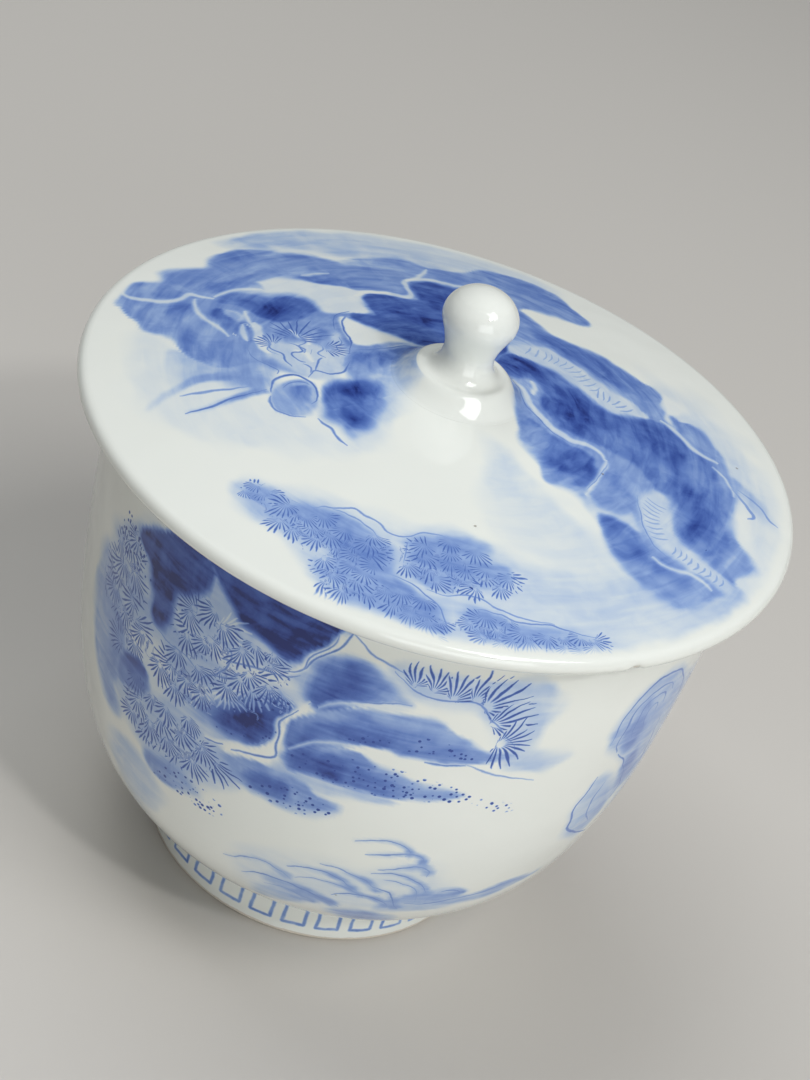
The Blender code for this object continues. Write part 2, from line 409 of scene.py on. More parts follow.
    def needles(self, x, y, radius, direction, spread, layers=None):
        """A fan of pine needles, hiding most of any fan below it.

        What is kept is each point's place as seen from the fan's centre, and the needles' reach there.
        """
        layers = layers or self.fans
        limit = radius + FAN_MARGIN
        chosen, places = self.near((x, y), (limit, limit))
        offset = places - (x, y)
        out = np.hypot(offset[:, 0], offset[:, 1])
        close = out < limit
        chosen, offset, out = chosen[close], offset[close], out[close]
        bearing = np.degrees(np.arctan2(offset[:, 1], offset[:, 0]))
        off_axis = np.abs((bearing - direction + 180) % 360 - 180)
        edge = np.clip((spread / 2 + 12 - off_axis) / 40, 0, 1)
        length = radius * (edge**0.5) * (1 - 0.18 * (off_axis / 180))
        length *= 1 - smooth_step(out, radius + 0.2, radius + 0.8 * FAN_MARGIN)
        covered = chosen[out < 0.8 * length]
        for layer in layers:
            layer[covered, 2] = 0
        layer = roomiest(layers, chosen, 2)
        room = layer[chosen, 2] <= 0
        turn = math.radians(direction * 1.7 + x * 13 + y * 29)
        turned = offset @ np.array([[math.cos(turn), -math.sin(turn)], [math.sin(turn), math.cos(turn)]])
        layer[chosen[room], :2] = turned[room]
        layer[chosen[room], 2] = length[room]

    def foliage(self, outline, reach, seed):
        """Fills an outline with overlapping fans: outward ones along its edge, loose ones within."""
        chance = np.random.default_rng(SEED + seed)
        spacing = 0.5
        chain = curve_through(outline, closed=True, spacing=spacing)
        outward = outward_from(chain)
        for i in range(0, len(chain), max(1, round(reach * 0.8 / spacing))):
            bearing = math.degrees(math.atan2(outward[i][1], outward[i][0]))
            if TWIG_SIDE[0] < bearing < TWIG_SIDE[1]:
                continue
            x, y = chain[i] - outward[i] * reach * 0.85
            self.needles(x, y, reach * chance.uniform(0.95, 1.15), bearing + chance.uniform(-12, 12), 150)
        low, high = chain.min(axis=0), chain.max(axis=0)
        for row, y in enumerate(np.arange(low[1], high[1], reach * 0.7)):
            for x in np.arange(low[0] + (row % 2) * reach / 2, high[0], reach * 0.9):
                spot = np.array([[x, y]]) + chance.uniform(-0.25, 0.25, size=2) * reach
                turn = chance.uniform(-150, -30)
                if inside(chain, spot)[0]:
                    self.needles(*spot[0], reach * chance.uniform(0.8, 1.0), turn, 150)

    def store(self, mesh):
        """Writes the brushwork onto the mesh as attributes for the glaze material to read."""
        put(mesh, "wash", self.density)
        put(mesh, "dots", self.dots)
        kinds = {"ink": self.ink, "reserve": self.reserve, "fan": self.fans, "white_fan": self.white_fans}
        for kind, layers in kinds.items():
            for i, layer in enumerate(layers):
                put(mesh, f"{kind}_{i}", layer)


def put(mesh, name, values):
    """One number or one vector for each vertex, as a named attribute."""
    kind, field = ("FLOAT", "value") if values.ndim == 1 else ("FLOAT_VECTOR", "vector")
    attribute = mesh.attributes.new(name, kind, "POINT")
    attribute.data.foreach_set(field, np.ascontiguousarray(values, np.float32).ravel())


# ------------------------------------------------------------ the lid's landscape, seen from above, in mm

# (tone, edge softness, lean, outline): haze along the rim, then the rocks, pale first and dark last.
LID_WASHES = [
    (0.30, 3.0, (-90, 0.7), [
        (-44, 30), (-34, 42), (-18, 50.5), (0, 53), (10, 51), (8, 46), (-3, 44), (-12, 38), (-24, 34),
        (-36, 28)]),
    (0.20, 4.0, (180, 0.4), [
        (30, 26), (38, 24), (46, 16), (52, 5), (52, -14), (46, -27), (37, -38), (26, -43), (12, -44),
        (14, -36), (26, -30), (38, -20), (46, -6), (43, 4), (36, 12), (28, 18)]),
    (0.14, 3.0, (60, 0.8), [(8, -12), (16, -18), (26, -24), (34, -34), (22, -38), (10, -30)]),
    (0.07, 2.5, None, [(-46, -6), (-38, -12), (-24, -18), (-12, -22), (-18, -27), (-34, -29), (-44, -20)]),
    (0.34, 1.6, (90, 0.7), [(32, -29), (42, -27), (46, -20), (48, -24), (44, -32), (38, -37), (30, -36)]),
    (0.34, 0.9, (100, 0.8), [
        (43, 8), (47, 6), (51, 2), (52.6, -3), (49, -2), (47, 1), (45.6, -2), (44, 2)]),
    # Left: one ground wash, colour lifted off it for the inlet and the stones, then the dark lobes.
    (0.50, 0.6, None, [
        (-53, 2), (-51.6, 6.4), (-48.4, 9), (-48.8, 12), (-46, 15.2), (-43.4, 17), (-43.2, 21),
        (-40.6, 25.6), (-37, 28.4), (-33.6, 30), (-30, 31.4), (-26, 31.6), (-22.6, 34.4), (-19, 37.8),
        (-16, 40.4), (-12, 39.6), (-8, 41.2), (-5, 43), (-2, 47), (2, 48.8), (7, 49), (11, 47.2),
        (14.4, 43.6), (17.2, 40.8), (16.4, 38.4), (11, 37.4), (6, 36), (6, 30), (5.6, 20), (4.6, 12),
        (3, 9.4), (-4, 8.4), (-8, 7), (-12, 3.4), (-15.4, -1), (-16.6, -5), (-19, -9), (-24, -9.4),
        (-28, -9.6), (-31, -11), (-34, -12.6), (-37.6, -11.4), (-40.6, -8.6), (-43.4, -7.2), (-46, -7),
        (-48, -4.6), (-50.6, -2.4), (-52.6, -0.4)]),
    (-0.80, 0.8, None, [
        (-38.4, 9.6), (-36.6, 14), (-33.6, 17.4), (-30, 19.8), (-24.6, 21), (-20, 21.8), (-17.8, 23),
        (-15.4, 24.4), (-15, 22), (-18, 20.6), (-18, 17), (-17, 14.4), (-19.4, 11.8), (-22.6, 10.6),
        (-24.6, 12.8), (-28, 14.6), (-32, 13.4)]),
    (-0.92, 0.45, None, [
        (-19.8, 10.6), (-16, 9.8), (-12, 8.8), (-7.6, 7.4), (-12, 5.6), (-15.6, 3.4), (-18, 4.4),
        (-19.4, 7.6)]),
    (-0.62, 0.8, None, [
        (-29.6, -2), (-27, -7), (-22, -9.4), (-17.6, -8.6), (-16.4, -3), (-17.6, 1.6), (-20, 5.6),
        (-21.4, 2), (-24.6, -0.4)]),
    (-0.60, 1.2, None, [(-36, 31), (-28, 30), (-18, 33.6), (-16, 36), (-24, 33.4), (-31, 32.4)]),
    (0.66, 0.7, (110, 0.4), [
        (-43, 20), (-42, 24), (-39.4, 26.6), (-37, 24), (-38.6, 19.6), (-40.4, 16.6), (-42.8, 16.6)]),
    (0.62, 0.8, (100, 0.6), [(-37, 26), (-33, 29.4), (-29, 30.6), (-25, 31), (-28, 27), (-33, 24)]),
    (0.60, 0.9, (90, 0.6), [(-24, 31), (-20, 35.6), (-16.4, 39.4), (-14.4, 37), (-15, 32), (-19, 29)]),
    (0.70, 0.6, (-80, 0.5), [
        (-29.6, 21.4), (-27, 24), (-23.6, 26.8), (-20, 27.4), (-15.6, 27), (-15.4, 24.6), (-19.6, 23),
        (-23, 21.4), (-26.6, 20.6)]),
    (0.72, 0.6, (170, 0.5), [
        (-35.4, 11.4), (-33.8, 14), (-35.4, 15.6), (-38.8, 13.4), (-41.4, 10.8), (-39, 9.2)]),
    (0.66, 0.6, (-60, 0.5), [(-52, 4.2), (-50.8, 6), (-48, 7.4), (-45, 7.6), (-43.8, 5.4), (-46, 3.6)]),
    (0.70, 0.8, (30, 0.5), [
        (-49, 1), (-45.6, 1.8), (-42.6, 3.4), (-41, 1), (-42.4, -2.4), (-44.4, -5), (-47, -3)]),
    (0.62, 0.8, (-140, 0.5), [
        (-41, -1), (-38, -1.6), (-35, -4), (-33, -7), (-33.4, -10.6), (-37, -11), (-40.4, -7.6)]),
    (0.84, 0.45, (-30, 0.25), [
        (-38.4, 6.2), (-38, 9), (-34.5, 11), (-31.6, 12), (-29, 13.6), (-26, 12.8), (-24, 11.2),
        (-25.4, 9.2), (-26.6, 6), (-28.4, 4), (-31, 4), (-33, 5.6), (-36, 6.6)]),
    (0.92, 1.6, None, [(-34.6, 8), (-31, 9.6), (-28, 9.4), (-27.4, 6.4), (-29.4, 4.8), (-32, 6)]),
    (0.76, 0.6, (150, 0.3), [
        (-38.4, 4), (-35.4, 4.4), (-33.2, 2), (-31.4, 0.6), (-31.8, -2.4), (-35, -2), (-38, 1)]),
    (-0.5, 0.7, None, [(-37, 4.6), (-34.6, 4.8), (-33, 3), (-34, 1.8), (-36.4, 3)]),
    (0.58, 0.6, (70, 0.5), [
        (-28, 3.4), (-25.6, 4.8), (-22, 5), (-20.4, 2.4), (-20, -0.6), (-24, 0.2), (-27, -1.2)]),
    (0.44, 1.2, (40, 0.7), [
        (-33, -10), (-28, -9), (-25.6, -12), (-26, -15.4), (-30, -16), (-34, -15), (-37, -19), (-40, -17),
        (-41, -11)]),
    # Around the knob.
    (0.82, 0.5, None, [
        (-12.4, 30), (-10, 33.4), (-6, 34), (-3, 36.4), (0, 38.4), (4, 36), (6, 31), (6, 22), (5, 13),
        (3, 9.6), (-4, 8.6), (-8, 7.6), (-12, 9.4), (-17.6, 10.6), (-18.8, 12.4), (-16, 14), (-17.2, 17),
        (-18.6, 20), (-17.4, 22), (-14, 22.8), (-10.8, 24.6), (-10.8, 27)]),
    (0.94, 1.6, (-90, 0.3), [
        (-18, 12), (-14.6, 14.6), (-9, 15.6), (-3, 14.8), (3, 12), (3, 9.6), (-4, 8.4), (-8, 7.8),
        (-12, 9.6)]),
    (0.90, 1.8, None, [(-13, 18.6), (-7, 20.6), (0, 20), (4, 17), (-3, 15.8), (-10, 16.2)]),
    (0.87, 1.8, None, [(-10, 28), (-4, 31), (3, 30), (4, 26), (-3, 25), (-9, 25.4)]),
    (0.62, 0.7, (60, 0.4), [
        (-10.4, 36), (-10.8, 38.4), (-8, 40.6), (-5, 41.8), (-3, 45.6), (0, 48), (5, 48.8), (9, 48.4),
        (12, 46), (14.4, 43), (17, 40.6), (16.4, 38.6), (12.4, 38.2), (8, 40.2), (3, 41.4), (-1, 40),
        (-4, 37.4), (-7, 36.2)]),
    (0.72, 1.0, (90, 0.6), [(0, 42), (2, 46.4), (6, 47.6), (9, 46), (10, 41.4), (6, 41), (2, 41.6)]),
    (0.72, 0.6, (130, 0.5), [
        (-16, 0), (-13, 2.6), (-9.6, 5.2), (-7, 7), (-7.4, 4), (-9.6, 0), (-11.6, -3), (-12.4, -6),
        (-15.6, -6.4), (-16.6, -3)]),
    (0.36, 1.6, (160, 0.9), [
        (-13, -2), (-8, 3), (-5, 2), (-6, -6), (-7, -14), (-7, -21), (-11, -22.6), (-12, -12)]),
    (0.84, 0.8, (150, 0.65), [
        (-17.4, -10), (-15.8, -7.6), (-13, -6.2), (-10.8, -7.2), (-9.6, -10), (-9, -14), (-9.6, -18),
        (-11.4, -21), (-13.6, -19.4), (-16.6, -17.6), (-17.4, -14)]),
    (0.94, 1.4, None, [(-16.4, -9), (-14, -7.2), (-12, -8), (-13.4, -11), (-15.6, -11.6)]),
    (0.92, 1.3, None, [(-13.4, -13), (-11.4, -13), (-10.6, -17), (-12.4, -18.8), (-14, -16.4)]),
    (0.34, 0.4, None, [
        (-24.6, -13), (-22, -10.6), (-19.4, -10.8), (-18.2, -13), (-18, -16), (-19.6, -19.4),
        (-22.6, -19.4), (-24.6, -16)]),
    (0.66, 0.5, (90, 0.3), [(-22.8, -13.4), (-20.6, -11.8), (-19.2, -13), (-19.8, -15.4), (-21.8, -14.8)]),
    # Right: one ground wash, two pale bands lifted off it, then the dark rocks.
    (0.46, 0.8, None, [
        (5, 33.4), (9, 31.6), (11.6, 29.6), (15, 28.6), (20, 28.6), (24, 27), (28, 25.4), (31, 22),
        (32, 18.4), (35, 17.4), (39.4, 16.2), (42, 12.6), (44, 7), (45, 2), (45, -4), (46.6, -10),
        (49, -14), (46.6, -17.6), (45.6, -21), (44, -24), (40, -28.6), (36.6, -30), (31, -27.6),
        (27.6, -23.6), (25, -18.6), (21, -15.6), (16, -15.4), (14.6, -12), (11.4, -9), (10, -5), (8.6, -1),
        (6.4, 4), (4.4, 8.6), (5, 14)]),
    (-0.62, 0.6, None, [
        (6.4, 22.4), (12, 22.8), (17, 21.4), (20.4, 18.8), (24, 17.4), (27, 16.2), (29.6, 13.6),
        (27.6, 11.6), (24.6, 9.8), (21.4, 10.8), (18, 13.4), (14, 15.6), (9, 16.2), (5.8, 16.6)]),
    (-0.70, 0.9, None, [(31.4, 24), (32.6, 19), (31.6, 15.6), (34, 14.4), (33, 17), (35, 19), (36, 23)]),
    (-0.60, 0.7, None, [
        (32.6, -5.6), (34.6, -7.2), (35.8, -10.6), (37.4, -15.4), (42, -17.6), (45.6, -19.6), (44.6, -22.2),
        (38, -20.6), (32.8, -18.4), (30.4, -14), (30.6, -8.4)]),
    (-0.55, 0.8, None, [(44.6, 0), (44.4, -6), (46.4, -9.6), (49, -12), (48, -4), (46.4, 2)]),
    (-0.65, 0.6, None, [(22.6, -14.6), (26, -15.8), (29, -14.4), (31, -17.4), (27, -16.8), (24, -18.4)]),
    (0.62, 0.7, (60, 0.5), [
        (5, 33.4), (9, 31.6), (11.6, 29.4), (15, 28.4), (20, 28.4), (23, 27), (26, 25.6), (29.6, 25),
        (31.4, 22), (30.6, 17.6), (28.6, 14.8), (26.6, 17), (23.4, 17.6), (20, 19), (17, 21.4), (12, 22.6),
        (8, 21.6), (5, 20)]),
    (0.74, 1.6, None, [
        (9, 26.4), (12, 28), (18, 27.6), (22, 25), (23, 22), (25, 19.4), (21, 19.6), (18, 21.6), (13, 23.4),
        (10, 23.6)]),
    (0.78, 0.5, (150, 0.25), [
        (4.6, 9.6), (5.8, 15.4), (10, 15.8), (14, 15), (17, 13.4), (19.4, 11.2), (22.6, 9.6), (25.4, 10.6),
        (28.4, 12.4), (31, 13.4), (34, 13), (36.4, 10.8), (39.6, 8.8), (41.6, 5.6), (43, 1), (43.6, -4),
        (44.4, -9), (44, -13), (41.6, -15.6), (38.6, -15.4), (36.6, -12.6), (36, -9), (35, -5.6),
        (32.6, -6), (30.4, -3.6), (28.4, -1.4), (23, -0.8), (17.4, -0.8), (14.4, 1), (12.6, 4), (12.8, 6.4),
        (11.2, 8.8), (9.4, 9), (7.6, 7.6), (6, 8)]),
    (0.88, 2.0, None, [(13.6, 4), (14.2, 8.4), (17.4, 10.6), (21, 8), (23, 4), (20, 0.8), (15.6, 1)]),
    (0.90, 1.3, None, [(5.6, 10.4), (6.6, 14.4), (11, 14.4), (13.4, 12), (9.4, 10.2)]),
    (0.84, 2.0, None, [(26, 10), (31, 11.6), (35, 9), (37, 4), (34, 2), (29, 5)]),
    (0.86, 2.2, None, [(36, 0), (40, -2), (42, -8), (42, -13), (38.6, -13), (37, -7)]),
    (0.64, 0.6, (60, 0.6), [
        (33.2, 15), (34.6, 17), (37, 17.8), (39.4, 16), (41.4, 13), (42, 11.4), (38.4, 12), (35.4, 13.2)]),
    (0.62, 0.7, (190, 0.6), [
        (36.6, -9), (37, -13), (39.4, -15.8), (42.4, -17.2), (45, -18.8), (47, -16.6), (49, -14),
        (47.8, -11.6), (45, -10.4), (41, -9.6)]),
    (0.76, 0.5, (40, 0.4), [
        (10.6, -2.6), (13, -2.6), (16, -3.8), (19.4, -4.2), (22, -5.4), (23, -9), (22, -12.8), (19, -14.4),
        (16.2, -14.8), (15, -12.4), (15.2, -9.8), (12.2, -8.4), (10.8, -6)]),
    (0.86, 1.6, None, [(15.4, -9.6), (17, -6), (21, -6.4), (21.4, -10), (17.4, -11.8)]),
    (0.62, 0.6, (80, 0.5), [
        (24.2, -8), (26.6, -7), (29, -9), (29.6, -12.4), (28.4, -14), (25.6, -15.4), (23.2, -15),
        (23, -12)]),
    (0.68, 0.5, (130, 0.5), [
        (25.4, -17.6), (28.4, -17), (30.6, -18.4), (33, -20.2), (36, -21.6), (39.6, -21.2), (42, -21),
        (44, -22.6), (43.4, -25), (41, -27), (39, -29), (37, -30), (34, -28.6), (31.4, -27), (28.4, -24.4),
        (26.4, -21.4)]),
    (0.76, 1.6, None, [
        (27, -18.4), (30, -19.6), (34, -22), (39, -22.6), (37, -25), (32, -23.6), (28.4, -21.6)]),
    # Front: the wash under the pine foliage.
    (0.19, 2.0, None, [
        (-23, -36), (-10, -35), (-2, -36), (6, -32.6), (14, -34), (17, -38), (14, -41), (30, -40.6),
        (32, -43), (20, -49.6), (6, -53.4), (-6, -51.6), (-11, -47.6), (-17, -43), (-23, -40)]),
    (0.54, 1.6, (30, 0.3), [
        (-21.4, -36.4), (-19, -36.4), (-17, -37.4), (-13, -37), (-8, -36.8), (-4, -38.6), (-1.2, -41),
        (-1, -44), (-4.4, -46.6), (-8.4, -45.4), (-9.6, -43.4), (-13, -44), (-17.4, -42), (-21.6, -39.4)]),
    (0.54, 1.6, (20, 0.3), [
        (-10, -46.4), (-5, -44.8), (-1, -44.6), (2.6, -46), (6.6, -48), (8.6, -50.4), (8, -52),
        (3.2, -52.2), (-0.4, -51), (-4.6, -51.4), (-9, -49.6)]),
    (0.54, 1.6, (120, 0.3), [
        (0.6, -37.6), (3, -35.8), (7, -33.4), (10.4, -33.6), (10.8, -35.4), (14.6, -36.4), (15.4, -38),
        (13, -41), (9.4, -42.8), (5.4, -44.4), (1.6, -43), (0.8, -40)]),
    (0.50, 1.5, (150, 0.4), [
        (11, -46), (14, -45.2), (18, -45), (22, -43.8), (26, -42.8), (29, -42), (28, -44.4), (24, -47.4),
        (19, -49.2), (14, -50), (10.6, -49)]),
]

# (strength, width, points): ink lines.
LID_LINES = [
    (0.62, 0.5, [(-25.4, -15), (-27.4, -17.4), (-30.4, -20), (-34.4, -25)]),
    (0.42, 0.5, [(-26, -14), (-29, -16), (-33, -19), (-36.5, -21.5)]),
    (0.62, 0.4, [(-19.4, 12.6), (-20.8, 10), (-20.8, 7.6), (-20.2, 5.6)]),
    (0.66, 0.4, [(-19.2, 11.6), (-19.2, 8), (-18.4, 5.4), (-17.2, 4), (-16.7, 1.4), (-16.8, -1)]),
    (0.62, 0.4, [(-16.8, 0.8), (-14.6, 2.4), (-12, 3.8), (-9, 5.8), (-7, 7)]),
    (0.60, 0.4, [(-15.6, -1), (-16.2, -3), (-16.4, -5.4), (-18.4, -6.8), (-20.4, -6.8), (-20.6, -9.6)]),
    (0.66, 0.45, [
        (-24.8, -15.6), (-25.4, -13), (-24.4, -10.6), (-22.4, -9.6), (-20.4, -10.4), (-18.6, -12),
        (-18.2, -14.6), (-19.4, -16)]),
    (0.58, 0.4, [(-24, -14), (-23, -12), (-21, -11), (-19.8, -11.6)]),
    (0.55, 0.35, [(-24.6, -16), (-23.4, -18.6), (-21, -19.8), (-18.8, -19)]),
    (0.60, 0.35, [(-20, -3), (-20.4, -5), (-20.2, -7)]),
    (0.60, 0.35, [(-26, -1), (-24, -1.6), (-23, -3), (-24.4, -4), (-23.4, -5.6), (-21.6, -5.4)]),
    (0.60, 0.35, [(-28.6, -1.6), (-27.4, -3.6), (-25.4, -5), (-25, -6.8), (-23.6, -7.8)]),
    (0.60, 0.35, [(-31.6, -5), (-29.8, -7.4), (-27.6, -8.8), (-25.6, -9.4), (-25.4, -10.6)]),
    (0.55, 0.35, [(-22.4, -6), (-21, -6.4), (-20.8, -8)]),
    (0.52, 0.35, [(-28, 3), (-27, 1), (-25.6, -0.4)]),
    (0.52, 0.35, [(-26, 3.4), (-25, 1.6), (-23.4, 0)]),
    (0.52, 0.35, [(-23.8, 3.6), (-22.6, 1.4), (-21.6, 0)]),
    (0.55, 0.35, [(-17.4, -18.4), (-15, -19.8), (-12.8, -21.8), (-11.6, -22.6)]),
    (0.60, 0.35, [
        (6.6, 7.6), (8.6, 5), (9.6, 2.6), (10.6, 0.4), (12, -0.6), (14.6, -2.6), (18, -3.6), (20.4, -3.2)]),
    (0.45, 0.3, [(24.4, -5), (24, -8), (22.8, -11.6), (22, -14.4)]),
    (0.98, 0.5, [(10.0, -42.0), (10.3, -42.2), (10.6, -42.4)]),
    (0.98, 0.6, [(41.0, -14.6), (41.3, -14.7), (41.6, -14.9)]),
    (0.55, 0.3, [(-24.6, 1.6), (-23.6, 0), (-24.2, -1.4), (-22.8, -2.2), (-22.8, -3.6)]),
    (0.55, 0.3, [(-21.8, 0.4), (-20.6, -0.8), (-21, -2.4), (-19.4, -3)]),
    (0.55, 0.3, [(-19.4, 4), (-18.4, 2.4), (-19, 0.8), (-17.8, -0.6)]),
    (0.50, 0.3, [(-30.4, 2), (-29, 0.4), (-29.4, -1.4), (-27.8, -2.6), (-27.6, -4.4), (-26, -5.4)]),
    (0.50, 0.35, [(30, -9), (30.4, -13), (31.8, -17), (34.6, -20), (38.6, -21.4)]),
    (0.40, 0.7, [(44, 4), (46, 2), (48, -0.6), (47, -2.4)]),
    (0.40, 0.6, [(45, 4.6), (48, 3.4), (50.6, 1), (52.4, -0.6)]),
    # Twig and outlines of the pine foliage.
    (0.50, 0.32, [
        (-16.8, -37), (-13.6, -37.4), (-11.4, -36.4), (-9, -35.6), (-7.6, -35), (-6.2, -35.6), (-4, -36.2),
        (-2, -37.1), (0, -36.6), (2, -35.3), (4.6, -34.5), (7.4, -34.5), (10.6, -35)]),
    (0.50, 0.30, [(-10.6, -36.2), (-7.6, -36.4), (-4.6, -37.8), (-2.8, -39.4)]),
    (0.50, 0.30, [(0.2, -37.4), (0.4, -39.6), (0.8, -42)]),
    (0.55, 0.34, [(-0.4, -44.6), (2, -45), (4.6, -46), (7, -47.8), (8.6, -50), (9.2, -52)]),
    (0.52, 0.32, [
        (4.4, -44.8), (7, -44.9), (9.4, -44), (11.4, -43.5), (14, -44.1), (17, -43.9), (20, -43.4),
        (22.6, -43)]),
    (0.55, 0.34, [
        (10.8, -46.6), (12, -45.4), (14.6, -45), (17.6, -44.7), (20.6, -43.7), (24, -42.9), (28.4, -41.6)]),
]

# (tone, width where it starts, width where it ends, points): soft strokes trailing off to the left.
LID_STROKES = [
    (0.46, 0.8, 2.6, [(-39.8, -27), (-38, -21.6), (-35.4, -17), (-31.4, -13.6), (-28, -11.6)]),
    (0.50, 0.6, 1.7, [(-34.6, -25), (-30.8, -20.6), (-27.6, -17.6), (-25.2, -14.6)]),
]

# (width, points): lines left white between the rocks.
LID_RESERVES = [
    (1.1, [(-53, 3.2), (-50.6, 2), (-48, 2), (-45.4, 3), (-43.8, 4.8), (-43.2, 6.8), (-41, 7), (-39.2, 7)]),
    (0.9, [(-39.6, 7.4), (-38.4, 9.6), (-36, 12), (-33.6, 14)]),
    (0.8, [(-42, 6), (-41, 2.6), (-39, 0), (-36, -2.2), (-34.4, -3.8)]),
    (1.2, [
        (-20, 19.4), (-18.2, 22.2), (-15.6, 23.3), (-12.8, 24), (-12, 26), (-12.8, 28.4), (-13.3, 30.6),
        (-12.6, 32.6), (-10.4, 34.2), (-8, 34.7), (-5.4, 35.6), (-3, 37.6)]),
    (0.9, [(-13.2, 31), (-12.2, 34.4), (-11.4, 37), (-11.2, 39)]),
    (1.5, [(-31.8, 2.6), (-30.4, -0.6), (-29.4, -3), (-27.4, -5.4)]),
    (1.1, [(-33.6, 1.4), (-32.6, -1.6), (-31.2, -3.8)]),
    (0.9, [(-26.8, 2.4), (-24.8, 1.2), (-23.6, 1.4), (-22.9, -0.8)]),
    (0.8, [(-24.6, -3), (-22.4, -3.4), (-21, -5)]),
    (0.6, [(-29.6, 22), (-27.4, 24), (-25, 25.6)]),
    (0.7, [(-33.6, 5.6), (-33, 3.4), (-31.6, 1)]),
    (1.3, [
        (7.6, 6.8), (9.8, 4.6), (10.8, 2), (12.4, 0), (15, -1.8), (18, -2.7), (21, -2.2), (23, -3),
        (24, -4.6)]),
    (1.0, [(10, 8.8), (11, 7.2), (11.2, 5)]),
    (0.7, [(24.2, -4), (24, -8), (23, -11.6), (22.4, -15)]),
    (1.1, [(31, 14.4), (33.6, 13.7), (35.6, 12), (38, 10.2), (41.6, 9.6)]),
    (0.6, [(40.6, 8), (42.8, 6.6), (44, 4), (44.6, 1.6)]),
    (0.7, [(33, -21.4), (36, -22.4), (40, -21.6), (43, -23)]),
]

# Pine foliage: (reach of its needles, outline).
LID_FOLIAGE = [
    (2.4, [(-22.6, -36), (-19.6, -35.4), (-17.4, -37), (-18.6, -39), (-21.4, -38.8)]),
    (3.4, [
        (-17.8, -37.2), (-13, -36.4), (-8, -36.6), (-4, -38.4), (-1.4, -41), (-1.6, -43.8), (-4.6, -45.4),
        (-8, -44), (-9, -42.6), (-12, -43.4), (-16, -41.6), (-18.6, -39.4)]),
    (3.5, [
        (-10.4, -46), (-5, -44.4), (-1, -44.4), (2.6, -45.8), (6.6, -47.8), (8.6, -50.4), (8.4, -52.4),
        (3.6, -52.2), (0, -50.4), (-4, -51.2), (-8.6, -49.6)]),
    (3.5, [
        (0.4, -37.4), (3, -35.4), (7, -32.8), (10.4, -33.2), (11.6, -35.6), (15.6, -36.4), (17.2, -38.4),
        (13.6, -41), (9.6, -42.6), (5.6, -44.2), (1.8, -43), (0.6, -40)]),
    (3.0, [
        (10.6, -46.4), (14, -45), (18, -44.8), (22, -43.6), (26, -42.6), (30, -41.6), (29, -44.4),
        (24, -47), (19, -49), (14.4, -49.8), (11, -48.6)]),
]

# (x, y, reach, direction, spread): single fans.
LID_FANS = [
    (-27.4, -2.6, 4.2, 150, 150),
    (-25.2, 0.2, 7.2, 95, 180),
    (-20.4, -0.4, 4.4, 20, 150),
]


def ladder(start, bend, end, count, length, strength):
    """Short bars laid side by side across a curved band, like the rungs of a ladder."""
    width, bow = 0.42, 0.35
    spine = curve_through([start, bend, end], spacing=0.25)
    last = len(spine) - 1
    rungs = []
    for i in range(count):
        here = int((i + 0.5) / count * last)
        middle = spine[here]
        along = spine[min(here + 1, last)] - spine[max(here - 1, 0)]
        along /= np.linalg.norm(along)
        across = np.array([-along[1], along[0]]) * length / 2
        rungs.append((strength, width, [middle - across, middle + bow * along, middle + across]))
    return rungs


LID_RUNGS = [
    *ladder((8, 19.6), (15, 19.4), (21, 15), 12, 3.6, 0.33),
    *ladder((20.4, 14.6), (24, 14.2), (26.6, 12.6), 6, 3.6, 0.36),
    *ladder((33, -8.6), (32.4, -13), (34, -17.4), 9, 3.4, 0.34),
    *ladder((35.6, -18.4), (40, -19.4), (44.6, -20.6), 9, 2.6, 0.36),
]


def paint_lid(painting):
    for tone, edge, lean, outline in LID_WASHES:
        painting.wash(tone, edge, lean, outline)
    for tone, start, end, points in LID_STROKES:
        painting.brush(tone, start, end, points)
    for width, points in LID_RESERVES:
        painting.stroke(painting.reserve, 1.0, width, points, taper=0.2)
    for strength, width, points in LID_RUNGS + LID_LINES:
        painting.stroke(painting.ink, strength, width, points)
    for seed, (reach, outline) in enumerate(LID_FOLIAGE):
        painting.foliage(outline, reach, seed)
    for fan in LID_FANS:
        painting.needles(*fan)


# ------------------------------------------------------------ the bowl's landscape: (degrees round, mm up)

